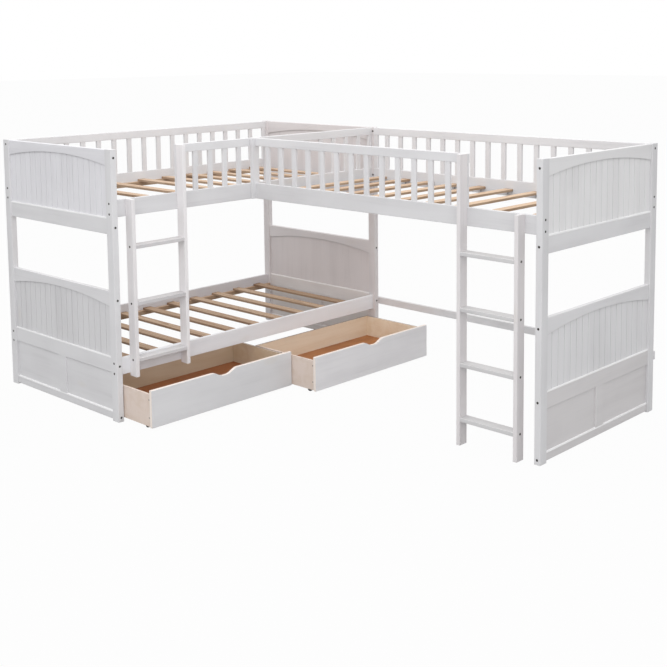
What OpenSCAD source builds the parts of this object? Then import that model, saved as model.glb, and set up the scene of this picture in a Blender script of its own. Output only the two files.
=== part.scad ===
// L-shaped bunk bed: a twin-over-twin bunk with a raised single bed joined to it at a right angle,
// two ladders, full guard rails and two roll-out drawers. Millimetres, +Z up.
// Origin: centre of the underside of the corner post's foot, the outer corner of the L.
// The bunk runs towards -Y, the raised bed towards +X.

/* [Overall] */
// length of the bunk over its end panels
bed_l = 2020; // [1990:5:2050]
// width of every bed over its posts
bed_w = 1062; // [1042:2:1082]
// length of the raised bed beyond the bunk's outer side
loft_l = 1956; // [1936:2:1986]
// height of the posts
post_h = 1425; // [1424:1:1450]

/* [Posts and end panels] */
// post width, across the bed
post_w = 54; // [50:1:58]
// post thickness, along the bed
post_t = 34; // [32:1:38]
// bevel on the long edges of the posts
post_bevel = 2; // [1:0.5:3]
// thickness of the end panel rails
rail_t = 22; // [20:1:24]
// height of an arched rail at its ends
arch_end_h = 82; // [76:1:90]
// rise of the arches
arch_rise = 40; // [30:1:46]
// height of the rail under the upper boarding
waist_h = 88; // [80:1:96]
// height of the mid rail
mid_h = 84; // [76:1:90]
// height of the bottom rail
base_rail_h = 44; // [36:1:50]
// width of the centre upright in the base frame
muntin_w = 70; // [50:1:90]
// drop of the upper arched rail's top below the posts' tops
top_drop = 2; // [1:1:4]
// underside of the upper boarding's lower rail
waist_z = 986; // [976:1:996]
// top of the lower arched rail
low_arch_z = 688; // [678:1:698]
// top of the mid rail
mid_z = 341; // [336:1:346]
// underside of the bottom rail
base_z = 7; // [5:1:12]
// thickness of the grooved boarding
board_t = 9; // [8:0.5:10]
// pitch of the grooves
groove_pitch = 53; // [48:1:60]
// width of a groove
groove_w = 4; // [3:0.5:6]
// depth of a groove
groove_d = 2.5; // [1.5:0.5:3]
// thickness of the flat fields in the base frame
field_t = 8; // [6:1:10]
// clearance of a board in its groove
panel_play = 0.2; // [0.1:0.05:0.3]
// bevel on the long edges of rails and boards
edge_b = 1.5; // [1:0.5:2]
// depth to which boards sit in their rails
housing = 14; // [10:1:16]

/* [Side boards and slats] */
// thickness of side boards and guard rails
side_t = 18; // [16:1:20]
// height of the side boards
side_h = 90; // [84:1:96]
// underside of the upper side boards
upper_z = 1074; // [1070:1:1080]
// underside of the lower side boards
lower_z = 244; // [243:1:250]
// width of the ledger strips
ledger_w = 22; // [18:1:26]
// height of the ledger strips
ledger_h = 28; // [24:1:30]
// thickness of a slat
slat_t = 14; // [12:1:18]
// width of a slat
slat_w = 55; // [48:1:64]
// slats of the lower bed, evenly spaced
slat_n = 10; // [9:1:11]
// from the near end's posts to the middle of the lower bed's first slat
slat_first = 146; // [110:1:150]
// from the lower bed's last slat's middle to the corner's posts
slat_last = 114; // [100:1:150]
// wide gaps between the upper bed's slats, counted from the near end
upper_wide_n = 3; // [2:1:4]
// close gaps between the upper bed's slats, up to the corner
upper_close_n = 5; // [4:1:6]
// from the near end's posts to the middle of the upper bed's first slat
upper_slat_first = 186; // [150:1:200]
// from the upper bed's last slat's middle to the corner's posts
upper_slat_last = 134; // [100:1:150]
// close gaps between the raised bed's slats, counted from the bunk
loft_close_n = 6; // [5:1:7]
// wide gaps between the raised bed's slats, up to its end panel
loft_wide_n = 2; // [1:1:3]
// from the bunk's outer side to the middle of the raised bed's first slat
loft_slat_first = 84; // [70:1:110]
// from the raised bed's last slat's middle to its end posts
loft_slat_last = 198; // [150:1:210]
// a wide gap's spacing over a close gap's
wide_ratio = 1.25; // [1:0.05:1.5]

/* [Guards] */
// height of a guard's top rail
guard_rail_h = 46; // [42:1:50]
// drop of the guards' tops below the posts' tops
guard_drop = 3; // [2:1:6]
// width of a guard bar
bar_w = 31; // [28:1:34]
// thickness of a guard bar
bar_t = 14; // [12:1:16]
// evenly spaced bars in a back guard, besides the two at its ends
back_bars = 16; // [15:1:17]
// from the posts to the bunk's first and last evenly spaced back bars
back_bar_end = 137.5; // [120:0.5:150]
// from the corner post to the raised bed's first evenly spaced back bar
loft_bar_first = 107; // [95:1:140]
// from the raised bed's last evenly spaced back bar to the end post
loft_bar_last = 133; // [95:1:140]
// evenly spaced bars in the raised bed's front guard
front_bars = 13; // [12:1:14]
// from the junction post to the first of them
front_bar_first = 98; // [80:1:110]
// from the last of them to the ladder's stile
front_bar_last = 102; // [80:1:110]
// bars between the hung ladder and the junction
near_bars = 4; // [3:1:5]
// from the ladder's stile to the first of them
near_bar_first = 114; // [90:1:120]
// from the last of them to the raised bed's front board's middle
near_bar_last = 112; // [90:1:120]
// bars between the junction and the corner post
far_bars = 8; // [7:1:9]
// from the raised bed's front board's middle to the first of them
far_bar_first = 98.6; // [80:0.2:110]
// from the last of them to the corner post
far_bar_last = 121.2; // [90:0.2:130]
// thickness of the junction post board
junction_t = 20; // [18:1:22]
// width of the junction post board
junction_w = 54; // [50:1:58]
// how far the junction post stands proud of the raised bed's front board
junction_lap = 25; // [18:1:28]

/* [Ladders and stretcher] */
// width over a ladder's stiles
ladder_w = 354; // [340:2:360]
// thickness of a stile
stile_t = 21; // [19:1:23]
// depth of a stile and of a tread
stile_d = 57; // [52:1:60]
// thickness of a tread
tread_t = 20; // [18:1:24]
// distance from the bunk's near end to its ladder
ladder_a_off = 93; // [85:1:105]
// underside of the hung ladder's stiles
ladder_a_z = 229; // [226:1:234]
// top tread of the hung ladder
tread_a_top = 915; // [900:1:930]
// tread pitch of the hung ladder
tread_a_pitch = 299; // [290:1:303]
// distance from the end post to the standing ladder
ladder_b_off = 71; // [60:1:80]
// top tread of the standing ladder
tread_b_top = 946; // [930:1:960]
// tread pitch of the standing ladder
tread_b_pitch = 272; // [266:1:278]
// height of the back stretcher
stretcher_h = 44; // [38:1:50]
// how far the back stretcher runs past the raised bed's end
stretcher_over = 0; // [0:1:12]
// thickness of the back stretcher
stretcher_t = 16; // [14:1:20]
// underside of the back stretcher
stretcher_z = 274; // [266:1:282]

/* [Drawers] */
// gap between a drawer front and the post beside it
side_gap = 2; // [1:0.5:4]
// height of a drawer front
front_h = 196; // [186:1:200]
// thickness of a drawer front
front_t = 18; // [16:1:20]
// underside of a drawer front
front_z = 16; // [12:1:18]
// overhang of the front beyond the drawer walls
overhang = 2; // [1:0.5:4]
// thickness of the drawer walls
wall_t = 12; // [10:1:15]
// underside of the drawer walls
wall_z = 20; // [18:1:24]
// top of the drawer walls
wall_top = 190; // [170:1:194]
// depth of a drawer over its front
drawer_d = 505; // [480:5:560]
// thickness of a drawer bottom
bottom_t = 5; // [4:1:6]
// underside of a drawer bottom
bottom_z = 58; // [52:1:62]
// width of the finger scoop
scoop_w = 176; // [164:2:190]
// length of each of the finger scoop's sloping ends
scoop_run = 76; // [60:1:80]
// depth of the finger scoop
scoop_d = 26; // [20:1:30]
// how far the near drawer stands out in the picture, from closed
pull_1 = 249; // [0:1:450]
// how far the far drawer stands out in the picture, from closed
pull_2 = 441; // [0:1:450]
// how far a closed front stands in from the posts' outer faces
closed_in = 8; // [4:1:18]
// gap between the two drawer fronts
drawer_gap = 4; // [3:0.5:4]
// radius of a castor wheel
wheel_r = 17; // [16:0.5:18]
// width of a castor wheel
wheel_w = 14; // [12:1:16]
// radius of a castor axle
axle_r = 3; // [2.5:0.5:3.5]
// radial running clearance of a wheel on its axle
run_gap = 0.06; // [0.03:0.01:0.09]
// distance of a castor's axle from the front's face and from the back
castor_in = 72; // [66:1:84]

/* [Fasteners] */
// radius of a bolt head
head_r = 6; // [5:0.5:7]
// depth of a bolt head
head_h = 4; // [3:0.5:5]
// radius of a bolt shank
shank_r = 3; // [2.5:0.5:3.5]
// clearance round a bolt
bolt_gap = 0.3; // [0.2:0.1:0.4]
// length of a bolt beyond the piece its head is in
bite = 26; // [20:1:30]
// length of a bolt in a ladder stile beyond the board
stile_bite = 30; // [26:1:36]
// drop of the lower boards' bolts below the boards' middles
low_drop = 6; // [0:1:8]
// radius of a slat screw's head
screw_head_r = 4; // [3:0.5:5]
// radius of a slat screw's shank
screw_r = 1.75; // [1.5:0.25:2.5]
// length of a slat screw
screw_len = 34; // [28:1:38]
// clearance round a screw
screw_gap = 0.15; // [0.1:0.05:0.3]
// half distance between the two bolts in a side board
pair_h = 27; // [24:1:30]

/* [Hidden] */
$fn = 32;
white = [0.86, 0.86, 0.86]; pine = [0.80, 0.66, 0.48]; ply = [0.84, 0.72, 0.56];
brown = [0.60, 0.36, 0.18]; dark = [0.12, 0.12, 0.13];

x0 = -post_w / 2;            // outer face of the bunk's back side
xa = x0 + bed_w;             // outer face of the bunk's front side
xb = xa + loft_l;            // outer face of the raised bed's end panel
y1 = post_t / 2;             // outer face of the corner end and of the raised bed's back
y0 = y1 - bed_l;             // outer face of the bunk's near end
top_rail_z = post_h - top_drop;
guard_z = post_h - guard_drop;
front_w = (bed_l - 2 * post_t - 2 * side_gap - drawer_gap) / 2;
yb = y1 - bed_w;             // outer face of the raised bed's front side
inner_w = bed_w - 2 * post_w;
rail_in = (post_t - rail_t) / 2;
board_in = (post_t - board_t) / 2;
side_in = (post_w - side_t) / 2;
bar_in = (post_w - bar_t) / 2;
field_in = (post_t - field_t) / 2;
arch_r = (inner_w * inner_w / 4 + arch_rise * arch_rise) / (2 * arch_rise);
fa = xa - side_in;           // outer face of the bunk's front boards
ba = x0 + side_in;           // outer face of the bunk's back boards
fb = yb + side_in;           // outer face of the raised bed's front boards
bb = y1 - side_in;           // outer face of the raised bed's back boards
upper_mid = upper_z + side_h / 2;
lower_mid = lower_z + side_h / 2;
guard_bolt = guard_z - guard_rail_h / 2;
loft_corner_z = [upper_mid - 13, upper_mid + 13, guard_bolt - 13];
junction_bolt_z = [upper_mid - 13, upper_mid + 13, guard_bolt];
top_bolt = top_rail_z - arch_end_h / 2;
waist_bolt = waist_z + waist_h * 0.42;
low_bolt = low_arch_z - arch_end_h / 2 - 4;
mid_bolt = mid_z - mid_h / 2 - 3;
base_bolt = base_z + 16;
rail_bolts = [top_bolt, waist_bolt, low_bolt, mid_bolt, base_bolt];
upper_slat_z = upper_z + ledger_h;
lower_slat_z = lower_z + ledger_h;

// a bar of size v with its four long edges bevelled; its length lies along axis 0, 1 or 2
module flat(w, h, b)
  polygon([[b, 0], [w - b, 0], [w, b], [w, h - b], [w - b, h], [b, h], [0, h - b], [0, b]]);
module bar(v, axis, b = edge_b) {
  if (axis == 0) rotate([90, 0, 90]) linear_extrude(v[0]) flat(v[1], v[2], b);
  if (axis == 1) translate([0, v[1], 0]) rotate([90, 0, 0]) linear_extrude(v[1]) flat(v[0], v[2], b);
  if (axis == 2) linear_extrude(v[2]) flat(v[0], v[1], b);
}

// a bolt along +X from its head's outer face
module bolt(len) {
  rotate([0, 90, 0]) cylinder(r = head_r, h = head_h);
  rotate([0, 90, 0]) cylinder(r = shank_r, h = len);
}
// the hole a bolt along +X leaves
module bolt_hole(len) {
  translate([-1, 0, 0]) rotate([0, 90, 0]) cylinder(r = head_r + bolt_gap, h = head_h + 1);
  rotate([0, 90, 0]) cylinder(r = shank_r + bolt_gap, h = len + 1);
}
// a rail or board end's bolt hole along +X
module end_hole(x)
  translate([x, 0, 0]) rotate([0, 90, 0]) cylinder(r = shank_r + bolt_gap, h = bite + 2, center = true);

// ---- end panels, drawn lying along +X with their outer face at y = 0 ----
module post_bar() bar([post_w, post_t, post_h], 2, post_bevel);
module rail_bolt_holes() {
  for (z = rail_bolts) {
    translate([0, post_t / 2, z]) bolt_hole(post_w);
    translate([bed_w, post_t / 2, z]) mirror([1, 0, 0]) bolt_hole(post_w);
  }
}
// holes for a board or guard rail held at height z through the post standing at x
module side_bolt_hole(x, z) { translate([x, 0, z]) rotate([0, 0, 90]) bolt_hole(post_t); }
module end_posts(left_z, right_z) {
  difference() {
    post_bar();
    rail_bolt_holes();
    for (z = left_z) side_bolt_hole(post_w / 2, z);
  }
  difference() {
    translate([bed_w - post_w, 0, 0]) post_bar();
    rail_bolt_holes();
    for (z = right_z) side_bolt_hole(bed_w - post_w / 2, z);
  }
}
module rail_ends(z) {
  translate([0, post_t / 2, z]) { end_hole(post_w); end_hole(bed_w - post_w); }
}
module arch_bar(top, bolt_z) {
  difference() {
    translate([post_w, rail_in, top - arch_end_h]) bar([inner_w, rail_t, arch_end_h], 0);
    translate([bed_w / 2, 0, top - arch_end_h + arch_rise - arch_r]) rotate([-90, 0, 0])
      cylinder(r = arch_r, h = post_t, $fn = 720);
    board_slot(top - arch_end_h - 1, arch_rise + housing + 1 + panel_play);
    rail_ends(bolt_z);
  }
}
// the groove, h high from z, that holds the boarding's edge
module board_slot(z, h)
  translate([post_w - 1, board_in - panel_play, z]) cube([inner_w + 2, board_t + 2 * panel_play, h]);
module straight_bar(z, h, bolt_z, slot_z, slot_h) {
  difference() {
    translate([post_w, rail_in, z]) bar([inner_w, rail_t, h], 0);
    board_slot(slot_z, slot_h);
    rail_ends(bolt_z);
  }
}
module boarding(low, top, bolt_z) {
  n = floor((inner_w / 2 - groove_w) / groove_pitch);
  difference() {
    translate([post_w, board_in, low]) cube([inner_w, board_t, top - low]);
    for (i = [-n : n])
      translate([bed_w / 2 + i * groove_pitch - groove_w / 2, board_in - 1, low - 1])
        cube([groove_w, groove_d + 1, top - low + 2]);
    rail_ends(bolt_z);
  }
}
module base_frame() {
  field_h = mid_z - mid_h - base_z;    // from the bottom rail's underside to the mid rail's
  tenon = 4;                           // how far the centre upright runs into each rail
  difference() {
    union() {
      translate([post_w, rail_in, mid_z - mid_h]) bar([inner_w, rail_t, mid_h], 0);
      translate([post_w, rail_in, base_z]) bar([inner_w, rail_t, base_rail_h], 0);
      translate([(bed_w - muntin_w) / 2, rail_in, base_z + base_rail_h - tenon])
        bar([muntin_w, rail_t, field_h - base_rail_h + 2 * tenon], 2);
      translate([post_w, field_in, base_z + 1]) cube([inner_w, field_t, field_h]);
    }
    board_slot(mid_z - housing, housing + 1);
    rail_ends(mid_bolt);
    rail_ends(base_bolt);
  }
}
low_board_top = low_arch_z - arch_end_h + arch_rise + housing;
up_board_top = top_rail_z - arch_end_h + arch_rise + housing;
module top_rail() { arch_bar(top_rail_z, top_bolt); }
module arch_rail() { arch_bar(low_arch_z, low_bolt); }
module waist_rail() { straight_bar(waist_z, waist_h, waist_bolt, waist_z + waist_h - housing, housing + 1); }
module upper_boarding() { boarding(waist_z + waist_h - housing, up_board_top, top_bolt); }
module lower_boarding() { boarding(mid_z - housing, low_board_top, low_bolt); }

// near end: outer face towards -Y
module near_end() { translate([x0, y0, 0]) children(); }
// corner end: outer face towards +Y, drawn mirrored so that x still runs from the back side
module corner_end() { translate([x0, y1, 0]) mirror([0, 1, 0]) children(); }
// end of the raised bed: outer face towards +X, x running from the near side to the wall side
module loft_end() { translate([xb, yb, 0]) rotate([0, 0, 90]) children(); }

pair_up = [upper_mid - pair_h, upper_mid + pair_h];
pair_low = [lower_mid - low_drop - pair_h, lower_mid - low_drop + pair_h];
back_z = [pair_low[0], pair_low[1], pair_up[0], pair_up[1], guard_bolt];
front_z4 = [pair_low[0], pair_low[1], pair_up[0], pair_up[1]];
loft_front_z = pair_up;
loft_back_z = [pair_up[0], pair_up[1], guard_bolt];

module near_end_posts() color(white) near_end() end_posts(back_z, front_z4);
module near_end_top_rail() color(white) near_end() top_rail();
module near_end_upper_boarding() color(white) near_end() upper_boarding();
module near_end_waist_rail() color(white) near_end() waist_rail();
module near_end_arch_rail() color(white) near_end() arch_rail();
module near_end_lower_boarding() color(white) near_end() lower_boarding();
module near_end_base_frame() color(white) near_end() base_frame();

// the two small bolts in the corner post's near face
module corner_face_bolts()
  for (z = [upper_mid, guard_bolt])
    translate([xa - side_in / 2 - 2, y1 - post_t, z]) rotate([0, 0, 90]) children();
// holes through the corner post for the raised bed's back board and guard
module loft_back_holes() {
  for (z = loft_corner_z) translate([xa - post_w, bb - side_t / 2, z]) bolt_hole(post_w + bite);
}
module corner_end_posts() color(white) difference() {
  corner_end() end_posts(back_z, back_z);
  corner_face_bolts() bolt_hole(post_t / 2);
  loft_back_holes();
  stretcher_holes();
}
module corner_end_top_rail() color(white) corner_end() top_rail();
module corner_end_upper_boarding() color(white) corner_end() upper_boarding();
module corner_end_waist_rail() color(white) corner_end() waist_rail();
module corner_end_arch_rail() color(white) corner_end() arch_rail();
module corner_end_lower_boarding() color(white) corner_end() lower_boarding();
module corner_end_base_frame() color(white) corner_end() base_frame();
module loft_end_posts() color(white) difference() {
  loft_end() end_posts(loft_front_z, loft_back_z);
  stretcher_holes();
}
module loft_end_top_rail() color(white) loft_end() top_rail();
module loft_end_upper_boarding() color(white) loft_end() upper_boarding();
module loft_end_waist_rail() color(white) loft_end() waist_rail();
module loft_end_arch_rail() color(white) loft_end() arch_rail();
module loft_end_lower_boarding() color(white) loft_end() lower_boarding();
module loft_end_base_frame() color(white) loft_end() base_frame();

// ---- side boards ----
// bolt holes into the ends of a board that runs along Y or along X
module board_hole() cylinder(r = shank_r + bolt_gap, h = 2 * bite + 4, center = true);
module y_holes(x, z, ends) for (y = ends) translate([x, y, z]) rotate([90, 0, 0]) board_hole();
module x_holes(y, z, ends) for (x = ends) translate([x, y, z]) rotate([0, 90, 0]) board_hole();
module bunk_board(x, z, bolt_zs) {
  difference() {
    translate([x, y0 + post_t, z]) bar([side_t, bed_l - 2 * post_t, side_h], 1);
    for (b = bolt_zs) y_holes(x + side_t / 2, b, [y0 + post_t, y1 - post_t]);
  }
}
module bunk_upper_front_board() color(white) difference() {
  bunk_board(fa - side_t, upper_z, pair_up);
  stile_a_holes();
  junction_holes();
}
module bunk_upper_back_board() color(white) bunk_board(ba, upper_z, pair_up);
module bunk_lower_front_board() color(white) difference() {
  bunk_board(fa - side_t, lower_z, pair_low);
  stile_a_holes();
}
module bunk_lower_back_board() color(white) bunk_board(ba, lower_z, pair_low);
module loft_front_board() color(white) difference() {
  translate([fa + junction_t, fb, upper_z]) bar([xb - post_t - fa - junction_t, side_t, side_h], 0);
  for (z = pair_up) x_holes(fb + side_t / 2, z, [xb - post_t]);
  junction_holes();
  stile_b_holes();
}
module loft_back_board() color(white) difference() {
  translate([xa, bb - side_t, upper_z]) bar([xb - post_t - xa, side_t, side_h], 0);
  for (z = pair_up) x_holes(bb - side_t / 2, z, [xb - post_t]);
  loft_back_holes();
}
module junction_post() color(white) difference() {
  translate([fa, fb - junction_lap, upper_z]) bar([junction_t, junction_w, guard_z - upper_z], 2);
  junction_holes();
}

// ---- ledgers and slats ----
module bunk_ledger(x, z) translate([x, y0 + post_t, z]) bar([ledger_w, bed_l - 2 * post_t, ledger_h], 1);
module bunk_ledgers() color(pine) difference() {
  for (z = [lower_z, upper_z]) {
    bunk_ledger(ba + side_t, z);
    bunk_ledger(fa - side_t - ledger_w, z);
  }
  slat_screw_places() screw_hole();
}
module loft_ledgers() color(pine) difference() {
  translate([fa + junction_t, fb + side_t, upper_z])
    bar([xb - post_t - fa - junction_t, ledger_w, ledger_h], 0);
  translate([xa, bb - side_t - ledger_w, upper_z]) bar([xb - post_t - xa, ledger_w, ledger_h], 0);
  slat_screw_places() screw_hole();
}
slat_play = 2;
// n places evenly spaced from a to b
function places(a, b, n) = [for (i = [0 : n - 1]) a + (b - a) * i / (n - 1)];
// places from a to b that leave m gaps of the relative size g, then n gaps of the relative size h
function graded(a, b, m, g, n, h) = let (unit = (b - a) / (m * g + n * h))
  [for (i = [0 : m + n]) a + unit * (min(i, m) * g + max(i - m, 0) * h)];
lower_slat_ys = places(y0 + post_t + slat_first, y1 - post_t - slat_last, slat_n);
upper_slat_ys = graded(y0 + post_t + upper_slat_first, y1 - post_t - upper_slat_last,
  upper_wide_n, wide_ratio, upper_close_n, 1);
loft_slat_xs = graded(xa + loft_slat_first, xb - post_t - loft_slat_last,
  loft_close_n, 1, loft_wide_n, wide_ratio);
module bunk_slats(ys, z) for (y = ys)
  translate([ba + side_t + slat_play, y - slat_w / 2, z])
    bar([fa - ba - 2 * side_t - 2 * slat_play, slat_w, slat_t], 0);
// a screw standing head up with the top of its head at z = 0
module screw() {
  translate([0, 0, -screw_head_r / 2]) cylinder(r = screw_head_r, h = screw_head_r / 2);
  translate([0, 0, -screw_len]) cylinder(r = screw_r, h = screw_len);
}
module screw_hole() {
  translate([0, 0, -screw_head_r / 2]) cylinder(r = screw_head_r + screw_gap, h = screw_head_r / 2 + 1);
  translate([0, 0, -screw_len - 1]) cylinder(r = screw_r + screw_gap, h = screw_len + 1);
}
module bunk_screw_places(ys, z) {
  for (y = ys, x = [ba + side_t + ledger_w / 2, fa - side_t - ledger_w / 2])
    translate([x, y, z + slat_t]) children();
}
module slat_screw_places() {
  bunk_screw_places(lower_slat_ys, lower_slat_z) children();
  bunk_screw_places(upper_slat_ys, upper_slat_z) children();
  for (x = loft_slat_xs, y = [fb + side_t + ledger_w / 2, bb - side_t - ledger_w / 2])
    translate([x, y, upper_slat_z + slat_t]) children();
}
module bunk_upper_slats() color(pine) difference() {
  bunk_slats(upper_slat_ys, upper_slat_z);
  slat_screw_places() screw_hole();
}
module bunk_lower_slats() color(pine) difference() {
  bunk_slats(lower_slat_ys, lower_slat_z);
  slat_screw_places() screw_hole();
}
module loft_slats() color(pine) difference() {
  for (x = loft_slat_xs) translate([x - slat_w / 2, fb + side_t + slat_play, upper_slat_z])
    bar([slat_w, bb - fb - 2 * side_t - 2 * slat_play, slat_t], 1);
  slat_screw_places() screw_hole();
}
module slat_screws() color(dark) slat_screw_places() screw();

// ---- guards ----
bar_low = upper_z + side_h;
bar_top = guard_z - guard_rail_h;
module bar_y(x, y)
  translate([x + (side_t - bar_t) / 2, y - bar_w / 2, bar_low]) bar([bar_t, bar_w, bar_top - bar_low], 2);
module bar_x(x, y)
  translate([x - bar_w / 2, y + (side_t - bar_t) / 2, bar_low]) bar([bar_w, bar_t, bar_top - bar_low], 2);
module bunk_back_guard_rail() color(white) difference() {
  translate([ba, y0 + post_t, bar_top]) bar([side_t, bed_l - 2 * post_t, guard_rail_h], 1);
  y_holes(ba + side_t / 2, guard_bolt, [y0 + post_t, y1 - post_t]);
}
module bunk_back_guard_bars() color(white) {
  for (y = places(y0 + post_t + back_bar_end, y1 - post_t - back_bar_end, back_bars)) bar_y(ba, y);
  bar_y(ba, y0 + post_t + bar_w / 2);
  bar_y(ba, y1 - post_t - bar_w / 2);
}
stile_a1 = y0 + ladder_a_off;
stile_a2 = stile_a1 + ladder_w - stile_t;
module bunk_front_guard_rail() color(white) difference() {
  translate([fa - side_t, stile_a2, bar_top]) bar([side_t, y1 - post_t - stile_a2, guard_rail_h], 1);
  y_holes(fa - side_t / 2, guard_bolt, [y1 - post_t]);
  stile_a_holes();
  junction_holes();
}
// bars between the ladder and the junction, then along the opening to the raised bed
junction_y = fb + side_t / 2;
module bunk_front_guard_bars() color(white) {
  near_ys = places(stile_a2 + stile_t + near_bar_first, junction_y - near_bar_last, near_bars);
  far_ys = places(junction_y + far_bar_first, y1 - post_t - far_bar_last, far_bars);
  for (y = concat(near_ys, far_ys)) bar_y(fa - side_t, y);
  bar_y(fa - side_t, stile_a2 + bar_w / 2);
  bar_y(fa - side_t, y1 - post_t - bar_w / 2);
}
module loft_back_guard_rail() color(white) difference() {
  translate([xa, bb - side_t, bar_top]) bar([xb - post_t - xa, side_t, guard_rail_h], 0);
  x_holes(bb - side_t / 2, guard_bolt, [xb - post_t]);
  loft_back_holes();
}
module loft_back_guard_bars() color(white) {
  for (x = places(xa + loft_bar_first, xb - post_t - loft_bar_last, back_bars)) bar_x(x, bb - side_t);
  bar_x(xa + bar_w / 2, bb - side_t);
  bar_x(xb - post_t - bar_w / 2, bb - side_t);
}
stile_b2 = xb - post_t - ladder_b_off - stile_t;
stile_b1 = stile_b2 - ladder_w + stile_t;
module loft_front_guard_rail() color(white) difference() {
  translate([fa + junction_t, fb, bar_top])
    bar([stile_b1 + stile_t - fa - junction_t, side_t, guard_rail_h], 0);
  junction_holes();
  stile_b_holes();
}
module loft_front_guard_bars() color(white) {
  for (x = places(fa + junction_t + front_bar_first, stile_b1 - front_bar_last, front_bars)) bar_x(x, fb);
  bar_x(stile_b1 + stile_t - bar_w / 2, fb);
}

// ---- ladders ----
treads_a = [for (i = [0 : 2]) tread_a_top - i * tread_a_pitch];
treads_b = [for (i = [0 : 3]) tread_b_top - i * tread_b_pitch];
// bolts from the boards into the stiles and, at the junction, into the raised bed's boards
module stile_a_bolts() {
  for (y = [stile_a1, stile_a2], z = [lower_mid, upper_mid])
    translate([fa - side_t, y + stile_t / 2, z]) children();
  translate([fa - side_t, stile_a2 + stile_t / 2, guard_bolt]) children();
}
module stile_b_bolts() {
  for (x = [stile_b1, stile_b2])
    translate([x + stile_t / 2, fb + side_t, upper_mid]) rotate([0, 0, -90]) children();
  translate([stile_b1 + stile_t / 2, fb + side_t, guard_bolt]) rotate([0, 0, -90]) children();
}
module junction_bolts() for (z = junction_bolt_z) translate([fa - side_t, junction_y, z]) children();
module stile_a_holes() stile_a_bolts() bolt_hole(side_t + stile_bite);
module stile_b_holes() stile_b_bolts() bolt_hole(side_t + stile_bite);
module junction_holes() junction_bolts() bolt_hole(side_t + junction_t + bite);
module stretcher_bolts() for (x = [xa - 12, xb - post_t + 7])
  translate([x, y1 + stretcher_t, stretcher_z + stretcher_h - 11]) rotate([0, 0, -90]) children();
module stretcher_holes() stretcher_bolts() bolt_hole(stretcher_t + bite);
module stile_a(y, top) translate([fa, y, ladder_a_z]) bar([stile_d, stile_t, top - ladder_a_z], 2);
module tread_bolt_a(z) {
  translate([fa + stile_d / 2, stile_a1, z]) rotate([0, 0, 90]) children(0);
  translate([fa + stile_d / 2, stile_a2 + stile_t, z]) rotate([0, 0, -90]) children(0);
}
module tread_bolt_b(z) {
  translate([stile_b1, fb - stile_d / 2, z]) children(0);
  translate([stile_b2 + stile_t, fb - stile_d / 2, z]) mirror([1, 0, 0]) children(0);
}
module bunk_ladder_stiles() color(white) difference() {
  union() { stile_a(stile_a1, upper_z + side_h); stile_a(stile_a2, guard_z); }
  for (z = treads_a) tread_bolt_a(z) bolt_hole(stile_t);
  stile_a_holes();
}
module bunk_ladder_treads() color(white) difference() {
  for (z = treads_a)
    translate([fa, stile_a1 + stile_t, z - tread_t / 2]) bar([stile_d, ladder_w - 2 * stile_t, tread_t], 1);
  for (z = treads_a) tread_bolt_a(z) bolt_hole(stile_t + bite);
}
module stile_b(x, top) translate([x, fb - stile_d, 0]) bar([stile_t, stile_d, top], 2);
module loft_ladder_stiles() color(white) difference() {
  union() { stile_b(stile_b1, guard_z); stile_b(stile_b2, upper_z + side_h); }
  for (z = treads_b) tread_bolt_b(z) bolt_hole(stile_t);
  stile_b_holes();
}
module loft_ladder_treads() color(white) difference() {
  for (z = treads_b) translate([stile_b1 + stile_t, fb - stile_d, z - tread_t / 2])
    bar([ladder_w - 2 * stile_t, stile_d, tread_t], 0);
  for (z = treads_b) tread_bolt_b(z) bolt_hole(stile_t + bite);
}
module back_stretcher() color(white) difference() {
  translate([xa - post_w / 2, y1, stretcher_z])
    bar([xb - xa + post_w / 2 + stretcher_over, stretcher_t, stretcher_h], 0);
  stretcher_holes();
}

// ---- bolts ----
module panel_bolts() for (z = rail_bolts) {
  translate([0, post_t / 2, z]) bolt(post_w + bite / 2);
  translate([bed_w, post_t / 2, z]) mirror([1, 0, 0]) bolt(post_w + bite / 2);
}
module side_bolts(x, zs) for (z = zs) translate([x, 0, z]) rotate([0, 0, 90]) bolt(post_t + bite);
module end_bolts(left_z, right_z) {
  panel_bolts();
  side_bolts(post_w / 2, left_z);
  side_bolts(bed_w - post_w / 2, right_z);
}
module bolts() color(dark) {
  near_end() end_bolts(back_z, front_z4);
  corner_end() end_bolts(back_z, back_z);
  loft_end() end_bolts(loft_front_z, loft_back_z);
  for (z = loft_corner_z) translate([xa - post_w, bb - side_t / 2, z]) bolt(post_w + bite);
  stile_a_bolts() bolt(side_t + stile_bite);
  stile_b_bolts() bolt(side_t + stile_bite);
  junction_bolts() bolt(side_t + junction_t + bite);
  stretcher_bolts() bolt(stretcher_t + bite);
  corner_face_bolts() bolt(post_t / 2);
  for (z = treads_a) tread_bolt_a(z) bolt(stile_t + bite);
  for (z = treads_b) tread_bolt_b(z) bolt(stile_t + bite);
}

// ---- drawers, drawn with the front's face at x = 0, the near end at y = 0, walls running towards -X ----
d1_x = xa - closed_in + pull_1;
d2_x = xa - closed_in + pull_2;
d1_y = y0 + (bed_l - 2 * front_w - drawer_gap) / 2;
d2_y = d1_y + front_w + drawer_gap;
module drawer_1() translate([d1_x, d1_y, 0]) children();
module drawer_2() translate([d2_x, d2_y, 0]) children();
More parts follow.
